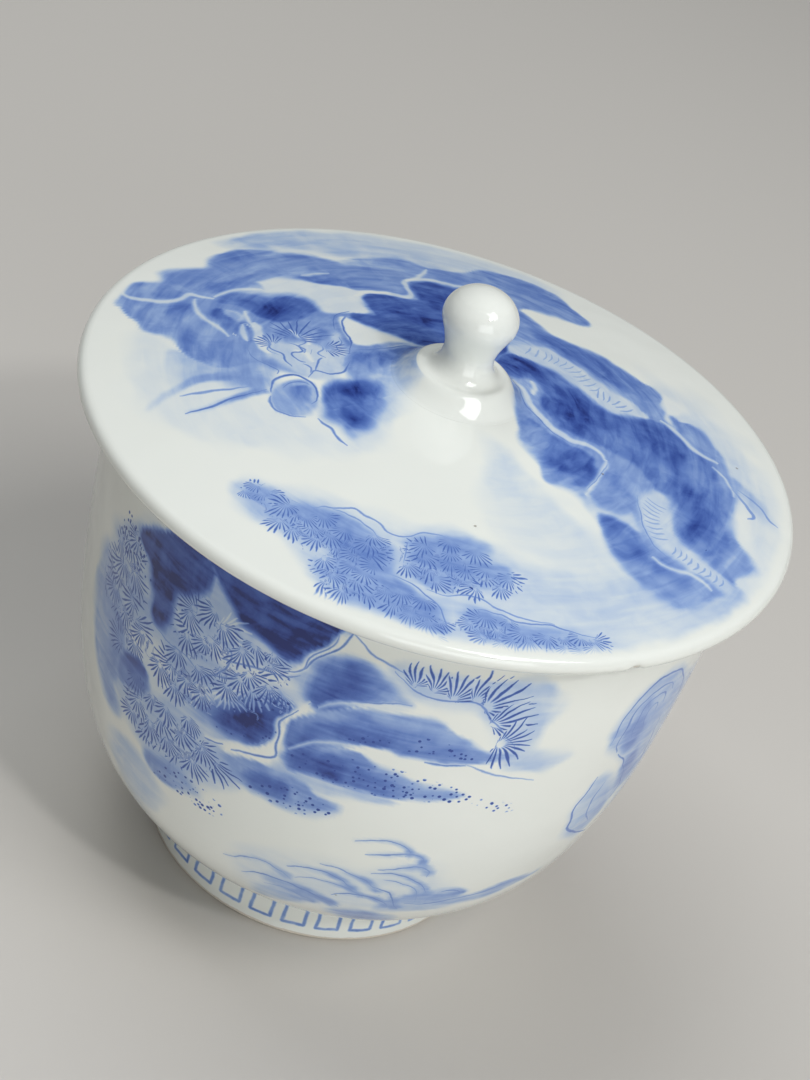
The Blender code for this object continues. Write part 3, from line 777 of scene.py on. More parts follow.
# Crag with pines. It is painted on the front, and again, turned over, on the back.
CRAG_WASHES = [
    (0.27, 1.6, None, [
        (-52, 70), (-42, 76), (-30, 78), (-20, 78), (-7, 74), (-6, 68), (-9, 62), (-12, 56), (-18, 51),
        (-14, 46), (-20, 41), (-32, 38), (-42, 42), (-50, 50), (-54, 60)]),
    (0.22, 1.5, None, [(5, 77), (18, 77), (31, 77), (33, 68), (29, 63), (24, 68), (18, 72), (8, 72)]),
    (-0.6, 1.0, None, [(-24, 66.6), (-18, 66.8), (-10, 68), (-9, 66), (-14, 65), (-22, 64)]),
    (-0.55, 1.2, None, [(-42, 57), (-36, 60), (-30, 56), (-33, 50), (-40, 53)]),
    (0.96, 0.6, None, [
        (-45, 73), (-41, 76.6), (-34, 79), (-28, 78.6), (-27, 74.4), (-30.6, 71.6), (-33.4, 69),
        (-33.4, 65), (-35, 62), (-38, 63), (-39, 67), (-40.4, 70), (-43, 71.4)]),
    (0.98, 0.6, None, [
        (-28, 81), (-25, 76), (-22, 74), (-20, 72), (-16.6, 72.2), (-13, 71.2), (-9.6, 71.4), (-7.4, 74),
        (-5.6, 77.6), (-4, 81)]),
    (0.82, 0.5, (100, 0.3), [
        (-44.6, 48), (-43, 51.8), (-39.6, 53.6), (-36.4, 53), (-35.4, 51), (-36.6, 48.6), (-39.6, 47),
        (-43, 46.6)]),
    (0.86, 0.6, (20, 0.55), [
        (-27, 54.8), (-24, 52.8), (-21, 52.8), (-17, 52.4), (-13, 53.1), (-11, 55), (-9.8, 58), (-8.6, 61),
        (-8.4, 63.8), (-10.6, 64.8), (-14, 63.2), (-17, 61.6), (-19.4, 59), (-22, 57)]),
    (0.99, 1.6, None, [(-18.6, 54.6), (-18, 58), (-15.4, 60), (-12, 60.4), (-11.6, 57), (-13.6, 54.2)]),
    (0.72, 0.8, (190, 0.45), [
        (-7, 66), (-6.6, 70), (-5.4, 73.4), (-2, 75.4), (2, 75.6), (5, 73.4), (7.4, 71.6), (9.6, 70.4),
        (4, 69.4), (1, 68.2), (-1.6, 66.2), (-4.4, 64.6)]),
    (0.92, 1.8, None, [(-5.6, 67), (-4, 71), (-1, 73.4), (1.6, 72.6), (1, 70), (-1, 68), (-3.6, 66)]),
    (0.68, 0.45, (-100, 0.4), [
        (-8, 57.6), (-7.8, 61), (-5, 64.2), (-1.4, 66.4), (3, 68), (8, 69), (13, 69), (17, 67.8), (20, 66),
        (24, 64.2), (29, 63.2), (26, 62.1), (22, 61.3), (17, 61), (12, 61.6), (7, 61.9), (3, 61.2), (0, 60),
        (-4, 57.4), (-6.4, 54.6)]),
    (0.84, 0.9, (-120, 0.35), [
        (-5.6, 58), (-5, 62), (0, 64.6), (6, 65.8), (14, 65.6), (20, 64.4), (24, 63), (17, 61.3),
        (10, 61.9), (3, 61.4), (-1, 60)]),
    (0.70, 0.6, (-120, 0.4), [
        (-6.6, 55), (-3, 58.6), (1, 59.8), (5, 59.6), (9, 58.2), (14, 56.9), (20, 56), (23, 55.2),
        (20, 53.7), (14, 53), (8, 53), (2, 53), (-3, 52.6), (-6, 52.3), (-7.8, 53.8)]),
    (0.90, 1.0, (180, 0.4), [
        (-7, 53.4), (-5, 56.4), (0, 58), (6, 57.4), (11, 55.6), (16, 54.4), (8, 53.3), (0, 53.2)]),
    (0.97, 0.8, None, [(-6, 53.6), (-3.4, 55.6), (0, 56), (2, 54.6), (-1, 53.6)]),
    (0.30, 1.2, (90, 0.6), [(-8, 52.8), (0, 52.8), (10, 52.8), (12, 51.6), (2, 50.2), (-8, 49.6)]),
    (0.60, 0.8, (60, 0.5), [
        (-20, 48.6), (-15, 50.4), (-10, 51), (-4, 51), (0, 49.6), (4, 48.4), (1, 46), (-3, 45), (-8, 44.6),
        (-13, 45.6), (-17, 46.2)]),
    (0.88, 1.2, None, [(-13, 47.6), (-9, 49.6), (-5, 48.8), (-5.4, 46.6), (-11, 46)]),
    (0.58, 0.9, (180, 0.5), [
        (-33, 39), (-28, 40.4), (-24, 40.4), (-20, 38), (-24, 36), (-30, 35), (-34, 36.4)]),
    # Painted shade: a cobalt wash on the far left of the crag, where the bowl's side lies in shade; the
    # turned-over copy lays it on the back as well.
    (0.52, 1.2, (0, 0.5), [
        (-56, 64), (-50, 61), (-45, 56), (-43, 50), (-44.6, 44), (-42, 40.4), (-47, 38.6), (-53, 44),
        (-58, 54)]),
    (0.34, 1.3, (180, 0.8), [(28, 62.4), (34, 64), (41, 62), (38, 59.6), (30, 61)]),
    (0.24, 2.0, (90, 0.6), [(-42, 36), (-34, 35), (-29, 31), (-33, 24), (-40, 22), (-46, 30)]),
]

CRAG_LINES = [
    (0.62, 0.34, [(-9.4, 69.8), (-7.2, 71.8), (-5, 75.4), (-3.2, 78.6), (-2, 80.6)]),
    (0.55, 0.30, [(-12.4, 68.6), (-9, 70), (-7.4, 72.6), (-6, 75.6), (-4.6, 79)]),
    (0.60, 0.34, [(-22.6, 65.4), (-18, 66.4), (-13.6, 67.6), (-10.6, 68.2), (-8.4, 69.4)]),
    (0.62, 0.34, [
        (-7.4, 63.8), (-8.8, 60.4), (-9.4, 57), (-8.4, 54), (-9.6, 52.8), (-13, 51.8), (-16.4, 51)]),
    (0.58, 0.30, [(-9, 62.6), (-10.4, 59), (-11, 55.6), (-12.4, 53.8), (-16, 52.8)]),
    (0.60, 0.34, [(-22, 50), (-19.6, 50.6), (-17.4, 51.4)]),
    (0.55, 0.30, [(-6.6, 65), (-3, 67.2), (1, 69), (6, 70.2), (10, 70.6)]),
    (0.58, 0.34, [(-24, 60), (-22, 62), (-20.4, 64.6), (-20.6, 67), (-23, 68.4)]),
    (0.55, 0.34, [(-26, 57), (-24, 60.4), (-20, 62.6), (-18, 65)]),
    (0.50, 0.34, [(-38, 62), (-34, 61.2), (-29, 61.4), (-24.6, 60)]),
    (0.55, 0.34, [
        (5, 76.4), (8, 73.6), (11, 72.6), (15, 72.8), (19, 72.8), (22, 71), (25, 68), (27.6, 65.6),
        (28.4, 64)]),
    (0.50, 0.3, [(-3, 79.6), (0, 77.6), (4, 76.6), (8, 75.6)]),
    (0.40, 0.3, [(20, 61.6), (25, 60), (30, 58.8), (35, 57.8)]),
    (0.60, 0.3, [(14, 60.9), (18, 60.6), (22, 61)]),
]

CRAG_RESERVES = [
    (1.0, [(-3.4, 79.8), (-6, 75.4), (-8.4, 71), (-11, 68.8), (-14.4, 67.6)]),
    (1.2, [
        (-6, 65.8), (-8, 62), (-9.4, 58.6), (-9.6, 55), (-11, 53.3), (-14, 52.4), (-18, 51.4),
        (-22, 50.2)]),
    (0.7, [(-5, 65), (-2.4, 67), (1.4, 68.6), (7, 69.9), (13, 69.8)]),
    (0.6, [(-7, 55.6), (-4, 58.8), (0, 60.4), (5, 61.2), (10, 61)]),
]

# Pine foliage: (reach of its needles, outline).
CRAG_FOLIAGE = [
    (4.6, [
        (-33, 72), (-27, 73.6), (-22, 71.6), (-16, 71.8), (-11, 70), (-9.6, 68.6), (-14, 67), (-20, 66),
        (-23, 63.6), (-29, 62.6), (-33, 65)]),
    (4.6, [
        (-34, 61.6), (-28, 63.4), (-23, 62.4), (-18, 65), (-13, 66), (-12.6, 63.6), (-18, 60.6), (-23, 57),
        (-30, 54.4), (-35, 57)]),
    (4.6, [
        (-52, 69), (-46, 73), (-41.6, 70), (-41, 64), (-37, 61), (-38, 56), (-44, 53), (-51, 57),
        (-54, 63)]),
    (4.8, [
        (-38, 52.6), (-31, 54), (-26, 52), (-21, 50.4), (-18, 47.4), (-20, 44.4), (-25, 43), (-31, 41),
        (-37, 42), (-42, 46)]),
]

# Single fans: (degrees, mm up, reach in mm, direction, spread).
CRAG_FANS = [
    (-19.4, 47, 6.2, -78, 210), (-26.6, 44.6, 5.0, -105, 190), (-34, 43, 4.6, -120, 190),
    (8.4, 74, 4.4, 76, 120), (11.6, 73.6, 5.2, 68, 120), (15.0, 73, 6.0, 60, 120), (18.6, 73, 7.2, 48, 120),
    (20.2, 72.2, 8.4, 26, 120), (22.6, 69.4, 7.6, 6, 130), (25.4, 65.6, 6.4, -4, 200),
]

# Needles left white against the dark rock.
CRAG_WHITE_FANS = [
    (
        -20, 60.6, 5.0, -70, 170), (-15.4, 63.4, 4.6, -85, 160), (-11, 65.4, 3.6, -90, 150),
        (-25, 58, 4.4, -60, 150),
    (-24, 69.6, 6.0, 20, 120),
]

CRAG_DOTS = [
    [(0, 61.4), (6, 64), (14, 65.6), (22, 63.4), (26, 63), (22, 62), (12, 62.4), (4, 62)],
    [
        (-7, 54), (-2, 57.6), (8, 58.4), (20, 56.8), (24, 55), (33, 53), (33, 51.4), (22, 53), (12, 53),
        (0, 53)],
    [(-13, 46), (-6, 49), (2, 48.6), (3, 46), (-4, 44.6)],
    [(-20, 53.4), (-19, 58), (-14, 62.6), (-9, 64), (-9.6, 60), (-12, 54.6)],
    [(-33, 36), (-24, 40), (-16, 38.6), (-16, 36), (-26, 35.2)],
    [(-50, 74), (-44, 72), (-40, 70), (-40, 67), (-47, 67), (-52, 71)],
]

# Water-worn stones outlined on the right, and the ripples and bank below.
STONE_WASHES = [
    (0.34, 1.2, None, [
        (49, 62), (50, 68), (53, 71.6), (58, 73), (64, 71.4), (70, 66), (72, 58), (69, 48), (62, 45),
        (59, 51), (57, 56), (53, 59)]),
    (0.36, 1.2, (0, 0.5), [
        (49, 46), (50, 52), (53, 54), (58, 50), (62, 44), (60, 38), (56, 37.6), (51, 41)]),
    (0.56, 0.8, None, [(53, 62), (54, 67), (56, 69), (57.6, 64), (58.4, 59), (56, 58)]),
    (0.54, 0.9, None, [(59, 54), (61, 57), (64, 52), (67, 50), (63, 47), (60, 50)]),
    (0.28, 2.0, (0, 0.5), [(66, 70), (76, 66), (82, 56), (76, 44), (68, 38), (64, 44), (70, 54), (70, 62)]),
]

STONE_LINES = [
    (0.60, 0.5, [(50, 61), (50, 65), (51, 69), (54, 71.8), (58, 72.7), (63, 71.4), (67, 67.6), (70, 62)]),
    (0.60, 0.45, [(53.6, 58), (52.2, 62), (52.4, 66), (54, 69), (57, 70.6), (60.6, 70), (63.6, 67)]),
    (0.64, 0.4, [(56, 60), (54.6, 64), (55.4, 67.4), (58, 69), (61, 68), (62, 65)]),
    (0.60, 0.4, [(58, 61), (57.2, 64), (58, 66.4), (60, 66.4), (60.4, 64)]),
    (0.60, 0.45, [(54, 58), (57, 56), (60, 52), (62, 48), (62.4, 44)]),
    (0.60, 0.5, [(51.4, 54), (49.8, 50), (49.6, 46), (51, 42.6), (54, 40), (58, 37.6), (62, 36)]),
    (0.52, 0.45, [(55, 52), (54, 48), (55, 44), (58, 40.6)]),
    (0.52, 0.5, [(64, 62), (66, 57), (68, 50), (67, 43), (64, 38)]),
    (0.52, 0.5, [(70, 68), (75, 62), (77, 54), (74, 45), (69, 38)]),
]

RIPPLE_LINES = [
    (0.36, 0.6, [(-14, 27.6), (-10, 29.4), (-6, 30.2), (-2, 29.6), (1, 28.2)]),
    (0.36, 0.6, [(4, 35.2), (8, 34.9), (12, 33.8), (15.4, 32), (17.6, 30.2)]),
    (0.38, 0.6, [(16, 34), (19.4, 33.8), (22.6, 32.2), (24.4, 30), (24.8, 28)]),
    (0.36, 0.6, [(-5, 24.2), (-1, 25.2), (3, 25), (7, 23.4)]),
    (0.42, 0.6, [(8, 42.4), (12, 43.4), (15.6, 43.7), (18, 42.6), (18.8, 41), (18, 40.2)]),
    (0.42, 0.6, [(11, 39.8), (15, 40.2), (18.6, 41.2), (21, 40.6), (21.8, 39.2), (20.6, 38.4)]),
    (0.40, 0.6, [(14, 36.6), (18.6, 37.6), (22, 38), (24.2, 37.2), (24.2, 35.6)]),
    (0.42, 0.7, [(13, 35.2), (17, 36), (21, 35.4), (23.6, 33.6), (25.4, 31.6), (27, 29.8)]),
    (0.40, 0.7, [(-2, 31.4), (1, 33), (5, 33.4), (8.6, 32.6), (11.4, 31), (13.4, 29.8)]),
    (0.38, 0.6, [(0, 29), (4, 30.6), (9, 30.8), (13, 29.4), (15, 28)]),
    (0.42, 0.7, [(15, 32), (18, 31), (20, 29), (21, 26.6), (23, 25)]),
    (0.42, 0.7, [(8, 27), (12, 28.6), (16, 28.8), (19, 27.4), (20.4, 25.4)]),
    (0.40, 0.8, [(-10, 25), (-6, 26.8), (-1, 27.4), (4, 26.6), (8, 25), (11, 23.6)]),
    (0.42, 0.8, [(22, 27.6), (27, 27.4), (33, 27.8), (39, 28.8), (45, 29.6), (51, 29.6)]),
    (0.45, 0.8, [(29, 31), (31, 31.6), (33, 31), (33.4, 29.6)]),
]

RIPPLE_WASHES = [
    (0.10, 3.0, None, [(-8, 33), (10, 35), (22, 38), (30, 32), (30, 26), (0, 22), (-10, 24)]),
    (0.40, 0.8, (90, 0.5), [
        (20, 28.6), (27, 31.2), (33, 31), (34, 28.8), (44, 29.8), (53, 29.8), (46, 27), (36, 25.4),
        (26, 24), (18, 24)]),
    (0.40, 0.9, None, [(26, 29), (29, 31.4), (33, 31.4), (34, 29.4), (30, 28.2)]),
    (0.34, 1.2, (60, 0.5), [(-4, 28), (2, 27.4), (6, 24.6), (1, 20), (-7, 19), (-5, 24)]),
    (0.44, 1.2, None, [(10, 21.6), (17, 23.4), (23, 21.6), (25, 18.6), (16, 17)]),
]


def placed(points, shift, flip):
    """Points of the bowl's painting in mm of wall, shifted round by some degrees and turned over if asked."""
    side = -1 if flip else 1
    return [((side * degrees + shift) * DEGREE, height) for degrees, height in points]


def lay_washes(painting, washes, shift, flip):
    for tone, edge, lean, outline in washes:
        if lean and flip:
            lean = (180 - lean[0], lean[1])
        painting.wash(tone, edge, lean, placed(outline, shift, flip))


def draw_lines(painting, lines, shift, flip):
    for strength, width, points in lines:
        painting.stroke(painting.ink, strength, width, placed(points, shift, flip))


def paint_crag(painting, shift, flip):
    lay_washes(painting, CRAG_WASHES, shift, flip)
    for outline in CRAG_DOTS:
        painting.dotting(placed(outline, shift, flip))
    for width, points in CRAG_RESERVES:
        painting.stroke(painting.reserve, 1.0, width, placed(points, shift, flip), taper=0.15)
    draw_lines(painting, CRAG_LINES, shift, flip)
    for fans, layers in ((CRAG_FANS, painting.fans), (CRAG_WHITE_FANS, painting.white_fans)):
        for degrees, height, reach, direction, spread in fans:
            (x, y), = placed([(degrees, height)], shift, flip)
            painting.needles(x, y, reach, 180 - direction if flip else direction, spread, layers)
    for seed, (reach, outline) in enumerate(CRAG_FOLIAGE):
        painting.foliage(placed(outline, shift, flip), reach, seed + 10)


def paint_stones(painting, shift, flip):
    lay_washes(painting, STONE_WASHES, shift, flip)
    draw_lines(painting, STONE_LINES, shift, flip)


def paint_ripples(painting, shift, flip):
    lay_washes(painting, RIPPLE_WASHES, shift, flip)
    for tone, width, points in RIPPLE_LINES:
        painting.brush(tone, 0.5, 2.6 * width, placed(points, shift, flip))
        painting.stroke(painting.ink, 1.3 * tone, 0.5 * width, placed(points, shift, flip))


def paint_bowl(painting):
    paint_crag(painting, 0, False)
    paint_stones(painting, 0, False)
    paint_ripples(painting, 0, False)
    paint_crag(painting, 178, True)
    paint_ripples(painting, 176, True)
    paint_stones(painting, 172, False)
    paint_ripples(painting, 96, False)
    paint_ripples(painting, 268, True)


# ------------------------------------------------------------ materials


def linear(red, green, blue):
    """A display colour, 0 to 255, as linear light."""
    def one(value):
        share = value / 255
        return share / 12.92 if share <= 0.04045 else ((share + 0.055) / 1.055) ** 2.4
    return one(red), one(green), one(blue), 1.0


# Cobalt under glaze, from bare white to where the brush was fullest.
COBALT = [
    (0.00, linear(233, 235, 229)),
    (0.12, linear(207, 217, 226)),
    (0.24, linear(176, 195, 222)),
    (0.36, linear(146, 171, 216)),
    (0.50, linear(121, 149, 205)),
    (0.62, linear(100, 130, 195)),
    (0.74, linear(80, 109, 180)),
    (0.86, linear(60, 87, 161)),
    (0.93, linear(48, 71, 145)),
    (1.00, linear(30, 45, 110)),
]
PORCELAIN = [(0.3, linear(231, 233, 227)), (0.7, linear(234, 235, 230))]
BARE_CLAY = [(0.3, linear(206, 196, 178)), (0.7, linear(230, 224, 212))]
# The lid's chip: bare clay, darkened and browned with painted shade for the hollow of the chip.
CHIP_CLAY_AND_SHADE = linear(196, 184, 164)
RUST_LINE = linear(176, 140, 104)
GLAZE_TINT = linear(214, 222, 205)
PINHOLE = linear(120, 104, 84)
FLOOR = linear(203, 199, 193)

# Brush marks run round the axis: a radian of turn counts as only this many mm, so they come out several
# times longer than they are wide. Their noise has its seam where the piece is bare, at these bearings.
SWEEP = 7.0
LID_SEAM = -135
BOWL_SEAM = 180
# Needles in a full turn of a fan, and the widest share of the pitch that one fills on each side of its
# middle, so that needles stay apart near the centre.
NEEDLE_COUNT = 23
NEEDLE_FILL = 0.26
# Pine needles on the lid and on the bowl: (strength, half width in mm).
LID_NEEDLES = (0.74, 0.18)
BOWL_NEEDLES = (0.86, 0.20)


class Nodes:
    """Short calls for building one material's node tree."""

    def __init__(self, name):
        self.material = bpy.data.materials.new(name)
        self.material.use_nodes = True
        self.tree = self.material.node_tree
        self.surface = self.tree.nodes["Principled BSDF"].inputs
        self.place = self.make("TexCoord").outputs["Object"]

    def make(self, kind, **settings):
        """A new shader node of a kind, with these settings."""
        node = self.tree.nodes.new("ShaderNode" + kind)
        for setting, value in settings.items():
            setattr(node, setting, value)
        return node

    def feed(self, socket, value):
        """Links another node's output to a socket, or sets the socket to a number, vector or colour."""
        if isinstance(value, bpy.types.NodeSocket):
            self.tree.links.new(value, socket)
        else:
            socket.default_value = value

    def fill(self, node, *values):
        """Feeds values to a node's first sockets and returns its first output."""
        for socket, value in zip(node.inputs, values):
            self.feed(socket, value)
        return node.outputs[0]

    def math(self, operation, *values):
        return self.fill(self.make("Math", operation=operation), *values)

    def add(self, a, b):
        return self.math("ADD", a, b)

    def subtract(self, a, b):
        return self.math("SUBTRACT", a, b)

    def times(self, a, b):
        return self.math("MULTIPLY", a, b)

    def divide(self, a, b):
        return self.math("DIVIDE", a, b)

    def highest(self, a, b):
        return self.math("MAXIMUM", a, b)

    def size(self, a):
        return self.math("ABSOLUTE", a)

    def length(self, a, b):
        return self.math("SQRT", self.add(self.times(a, a), self.times(b, b)))

    def rise(self, value, low, high, bottom=0.0, top=1.0):
        """Goes smoothly from bottom to top as value goes from low to high."""
        node = self.make("MapRange", interpolation_type="SMOOTHSTEP")
        return self.fill(node, value, low, high, bottom, top)

    def fall(self, value, low, high):
        """Goes smoothly from 1 to 0 as value goes from low to high."""
        return self.rise(value, low, high, 1.0, 0.0)

    def parts(self, vector):
        """The three numbers of a vector or colour."""
        split = self.make("SeparateXYZ")
        self.fill(split, vector)
        return tuple(split.outputs)

    def vector(self, name):
        return self.parts(self.make("Attribute", attribute_name=name).outputs["Vector"])

    def number(self, name):
        return self.make("Attribute", attribute_name=name).outputs["Fac"]

    def position(self):
        return self.parts(self.place)

    def swept(self, seam):
        """Places that stretch a noise round the axis, the way the brush was drawn, its seam at a bearing."""
        x, y, z = self.position()
        turn = math.radians(seam - 180)
        ahead = self.add(self.times(x, math.cos(turn)), self.times(y, math.sin(turn)))
        aside = self.subtract(self.times(y, math.cos(turn)), self.times(x, math.sin(turn)))
        along = self.times(self.math("ARCTAN2", aside, ahead), SWEEP * MM)
        return self.fill(self.make("CombineXYZ"), self.length(x, y), along, z)

    def noise(self, size_mm, detail=2.0, roughness=0.5, distortion=0.0, place=None):
        """Noise from 0 to 1 whose features are about size_mm across."""
        node = self.make("TexNoise")
        settings = {"Scale": 1 / (size_mm * MM), "Detail": detail, "Roughness": roughness,
                    "Distortion": distortion, "Vector": place or self.place}
        for name, value in settings.items():
            self.feed(node.inputs[name], value)
        return node.outputs["Fac"]

    def uneven(self, size_mm, amount, detail=2.0):
        """Noise about 0, up to half this amount either way."""
        return self.times(self.subtract(self.noise(size_mm, detail), 0.5), amount)

    def spots(self, size_mm):
        """Distance to, and three chance numbers of, the nearest of scattered cells about size_mm apart."""
        node = self.make("TexVoronoi")
        self.feed(node.inputs["Scale"], 1 / (size_mm * MM))
        self.feed(node.inputs["Vector"], self.place)
        return node.outputs["Distance"], self.parts(node.outputs["Color"])

    def ramp(self, value, stops):
        node = self.make("ValToRGB")
        elements = node.color_ramp.elements
        while len(elements) < len(stops):
            elements.new(0.5)
        for element, (place, colour) in zip(elements, stops):
            element.position = place
            element.color = colour
        return self.fill(node, value)

    def mix(self, share, first, second, blend="MIX"):
        node = self.make("Mix", data_type="RGBA", blend_type=blend)
        for name, value in (("Factor", share), ("A", first), ("B", second)):
            self.feed(node.inputs[name], value)
        return node.outputs["Result"]

    def bump(self, height, distance, below=None):
        """A surface direction that follows a height, on top of another such direction if one is given."""
        node = self.make("Bump")
        self.feed(node.inputs["Distance"], distance)
        self.feed(node.inputs["Height"], height)
        if below is not None:
            self.feed(node.inputs["Normal"], below)
        return node.outputs["Normal"]


def brush_density(n, needles, seam):
    """How much cobalt lies at a point: washes, then lines left white, then needles, dots and lines in ink."""
    wash = n.number("wash")
    streaks = n.noise(1.8, detail=3.0, roughness=0.5, distortion=0.5, place=n.swept(seam))
    wobble = n.uneven(0.9, 0.32)
    density = n.times(wash, mottling(n, wash, streaks))
    for i in range(RESERVE_LAYERS):
        white, _ = stroke_cover(n, n.vector(f"reserve_{i}"), wobble, 0.42)
        density = n.times(density, n.subtract(1.0, n.times(white, 0.68)))
    lifted = needle_cover(n, n.vector("white_fan_0"), wobble, needles)
    density = n.times(density, n.subtract(1.0, n.times(lifted, 0.55)))
    inked = n.times(n.add(0.82, n.times(streaks, 0.36)), needles[0])
    for i in range(FAN_LAYERS):
        cover = needle_cover(n, n.vector(f"fan_{i}"), wobble, needles)
        density = n.highest(density, n.times(cover, inked))
    density = n.highest(density, dot_cover(n, n.number("dots"), streaks))
    for i in range(INK_LAYERS):
        cover, tone = stroke_cover(n, n.vector(f"ink_{i}"), wobble, 0.18)
        density = n.highest(density, n.times(cover, n.times(tone, n.add(0.75, n.times(streaks, 0.5)))))
    return density


def mottling(n, wash, streaks):
    """How unevenly a wash took, as a factor: pools and brush streaks, which show less where it is full."""
    clouds = n.rise(n.noise(4.6, detail=3.0, roughness=0.5, distortion=0.8), 0.3, 0.7, -0.18, 0.10)
    both = n.add(clouds, n.rise(streaks, 0.3, 0.7, -0.22, 0.14))
    both = n.times(both, n.rise(wash, 0.4, 1.0, 1.0, 0.5))
    grain = n.times(n.noise(0.45, detail=2.0, roughness=0.6), 0.08)
    return n.times(n.add(1.0, both), n.add(0.96, grain))


def stroke_cover(n, stroke, wobble, softness):
    """Where a brush line covers, and its strength."""
    across, half, strength = stroke
    edge = n.subtract(half, n.size(n.add(across, n.times(wobble, 0.6))))
    cover = n.rise(edge, -softness, softness)
    return n.times(cover, n.rise(half, 0.0, 0.04)), strength


def needle_cover(n, fan, wobble, needles):
    """Thin strokes radiating from a fan's centre as far as it reaches, each with its own length and place."""
    _, half_width = needles
    pitch = 2 * math.pi / NEEDLE_COUNT
    x, y, reach = fan
    out = n.length(x, y)
    turns = n.add(n.divide(n.math("ARCTAN2", y, x), pitch), n.times(wobble, 0.35))
    which = n.make("TexWhiteNoise", noise_dimensions="1D")
    n.feed(which.inputs["W"], n.math("FLOOR", turns))
    chance = which.outputs["Value"]
    middle = n.add(0.36, n.times(chance, 0.28))
    gap = n.times(n.times(n.size(n.subtract(n.math("FRACT", turns), middle)), pitch), out)
    length = n.times(reach, n.add(0.74, n.times(chance, 0.3)))
    share = n.divide(out, length)
    width = n.times(half_width, n.rise(share, 0.6, 1.05, 1.0, 0.4))
    width = n.math("MINIMUM", width, n.times(out, NEEDLE_FILL * pitch))
    line = n.rise(n.subtract(width, gap), -0.12, 0.12)
    ends = n.times(n.rise(n.subtract(length, out), -0.12, 0.3), n.rise(reach, 0.7, 1.2))
    hollow = n.rise(share, 0.10, 0.26)
    return n.times(n.times(line, ends), hollow)


def dot_cover(n, depth, streaks):
    """Moss dots dabbed over an area, no two the same size."""
    distance, chances = n.spots(0.85)
    size = n.add(0.19, n.times(chances[0], 0.20))
    present = n.rise(chances[1], 0.08, 0.12)
    dab = n.rise(n.subtract(size, distance), -0.11, 0.09)
    area = n.rise(n.add(depth, n.times(streaks, 0.8)), 0.0, 0.6)
    return n.times(n.times(dab, present), n.times(area, 0.92))


def glaze(n, colour, bare=None, clay=None):
    """Clear glaze over a colour: faint tint, slow undulation, orange peel and rare pinholes.

    Where bare goes to 1 the glaze is missing, and the clay colour passed in shows, without gloss; at the
    lid's chip that colour is darkened with painted shade.
    """
    tinted = n.mix(n.times(n.noise(26.0, detail=1.0), 0.10), colour, GLAZE_TINT, "MULTIPLY")
    distance, chances = n.spots(9.0)
    pinhole = n.times(n.fall(distance, 0.016, 0.03), n.rise(chances[0], 0.6, 0.62))
    colour = n.mix(n.times(pinhole, 0.55), tinted, PINHOLE)
    roughness = n.rise(n.noise(7.0, detail=3.0), 0.3, 0.75, 0.035, 0.08)
    if bare is not None:
        colour = n.mix(bare, colour, clay)
        roughness = n.add(roughness, n.times(bare, 0.55))
    undulation = n.bump(n.noise(9.0, detail=1.0), 0.16 * MM)
    peel = n.bump(n.noise(0.9, detail=2.0), 0.007 * MM, undulation)
    settings = {
        "Base Color": colour, "Roughness": roughness, "Normal": n.bump(pinhole, -0.08 * MM, peel),
        "IOR": 1.52, "Specular IOR Level": 0.45, "Subsurface Weight": 0.08,
        "Subsurface Radius": (1.0, 0.95, 0.9), "Subsurface Scale": 1.2 * MM,
    }
    for name, value in settings.items():
        n.feed(n.surface[name], value)
    return n.material


def lid_glaze(name, chipped=False):
    """Painted glaze for the lid's top. The brush stopped short of the edge, unevenly."""
    n = Nodes(name)
    x, y, _ = n.position()
    out = n.add(n.length(x, y), n.uneven(5.0, 2.2 * MM))
    painted = n.fall(out, (LID_RADIUS - 3.4) * MM, (LID_RADIUS - 1.4) * MM)
    colour = n.ramp(n.times(brush_density(n, LID_NEEDLES, LID_SEAM), painted), COBALT)
    if chipped:
        # In the chip the bare clay shows, darkened with painted shade.
        return glaze(n, colour, n.rise(n.number("chipped"), 0.25, 0.5), CHIP_CLAY_AND_SHADE)
    return glaze(n, colour)


def bowl_glaze(name):
    """Painted glaze for the bowl. Its lip was left white."""
    n = Nodes(name)
    _, _, z = n.position()
    painted = n.fall(z, (BOWL_HEIGHT - 2.4) * MM, (BOWL_HEIGHT - 1.4) * MM)
    return glaze(n, n.ramp(n.times(brush_density(n, BOWL_NEEDLES, BOWL_SEAM), painted), COBALT))


def plain_glaze(name):
    n = Nodes(name)
    return glaze(n, n.ramp(n.noise(14.0), PORCELAIN))


def foot_band(n, x, y, height):
    """Ink in a row of squares open at the top, round the outside of the foot."""
    squares, half_square, low, high, half_line = 32, 1.75, 2.7, 6.9, 0.26
    pitch = math.radians(360 / squares)
    wobble = n.uneven(2.4, 0.55)
    turn = n.divide(n.math("ARCTAN2", x, n.times(y, -1.0)), pitch)
    centred = n.times(n.subtract(n.math("FRACT", turn), 0.5), pitch * (FOOT_RADIUS - 0.8))
    across = n.size(n.add(centred, wobble))
    height = n.add(height, wobble)
    side = n.fall(n.size(n.subtract(across, half_square)), half_line - 0.16, half_line + 0.22)
    side = n.times(side, n.times(n.rise(height, low - 0.3, low), n.fall(height, high, high + 0.5)))
    base = n.fall(n.size(n.subtract(height, low)), half_line - 0.16, half_line + 0.22)
    base = n.times(base, n.fall(across, half_square, half_square + 0.35))
    outside = n.rise(n.length(x, y), (FOOT_RADIUS - 2.0) * MM, (FOOT_RADIUS - 1.6) * MM)
    strength = n.add(0.18, n.times(n.noise(1.8, detail=3.0), 0.62))
    return n.times(n.times(n.highest(side, base), strength), outside)


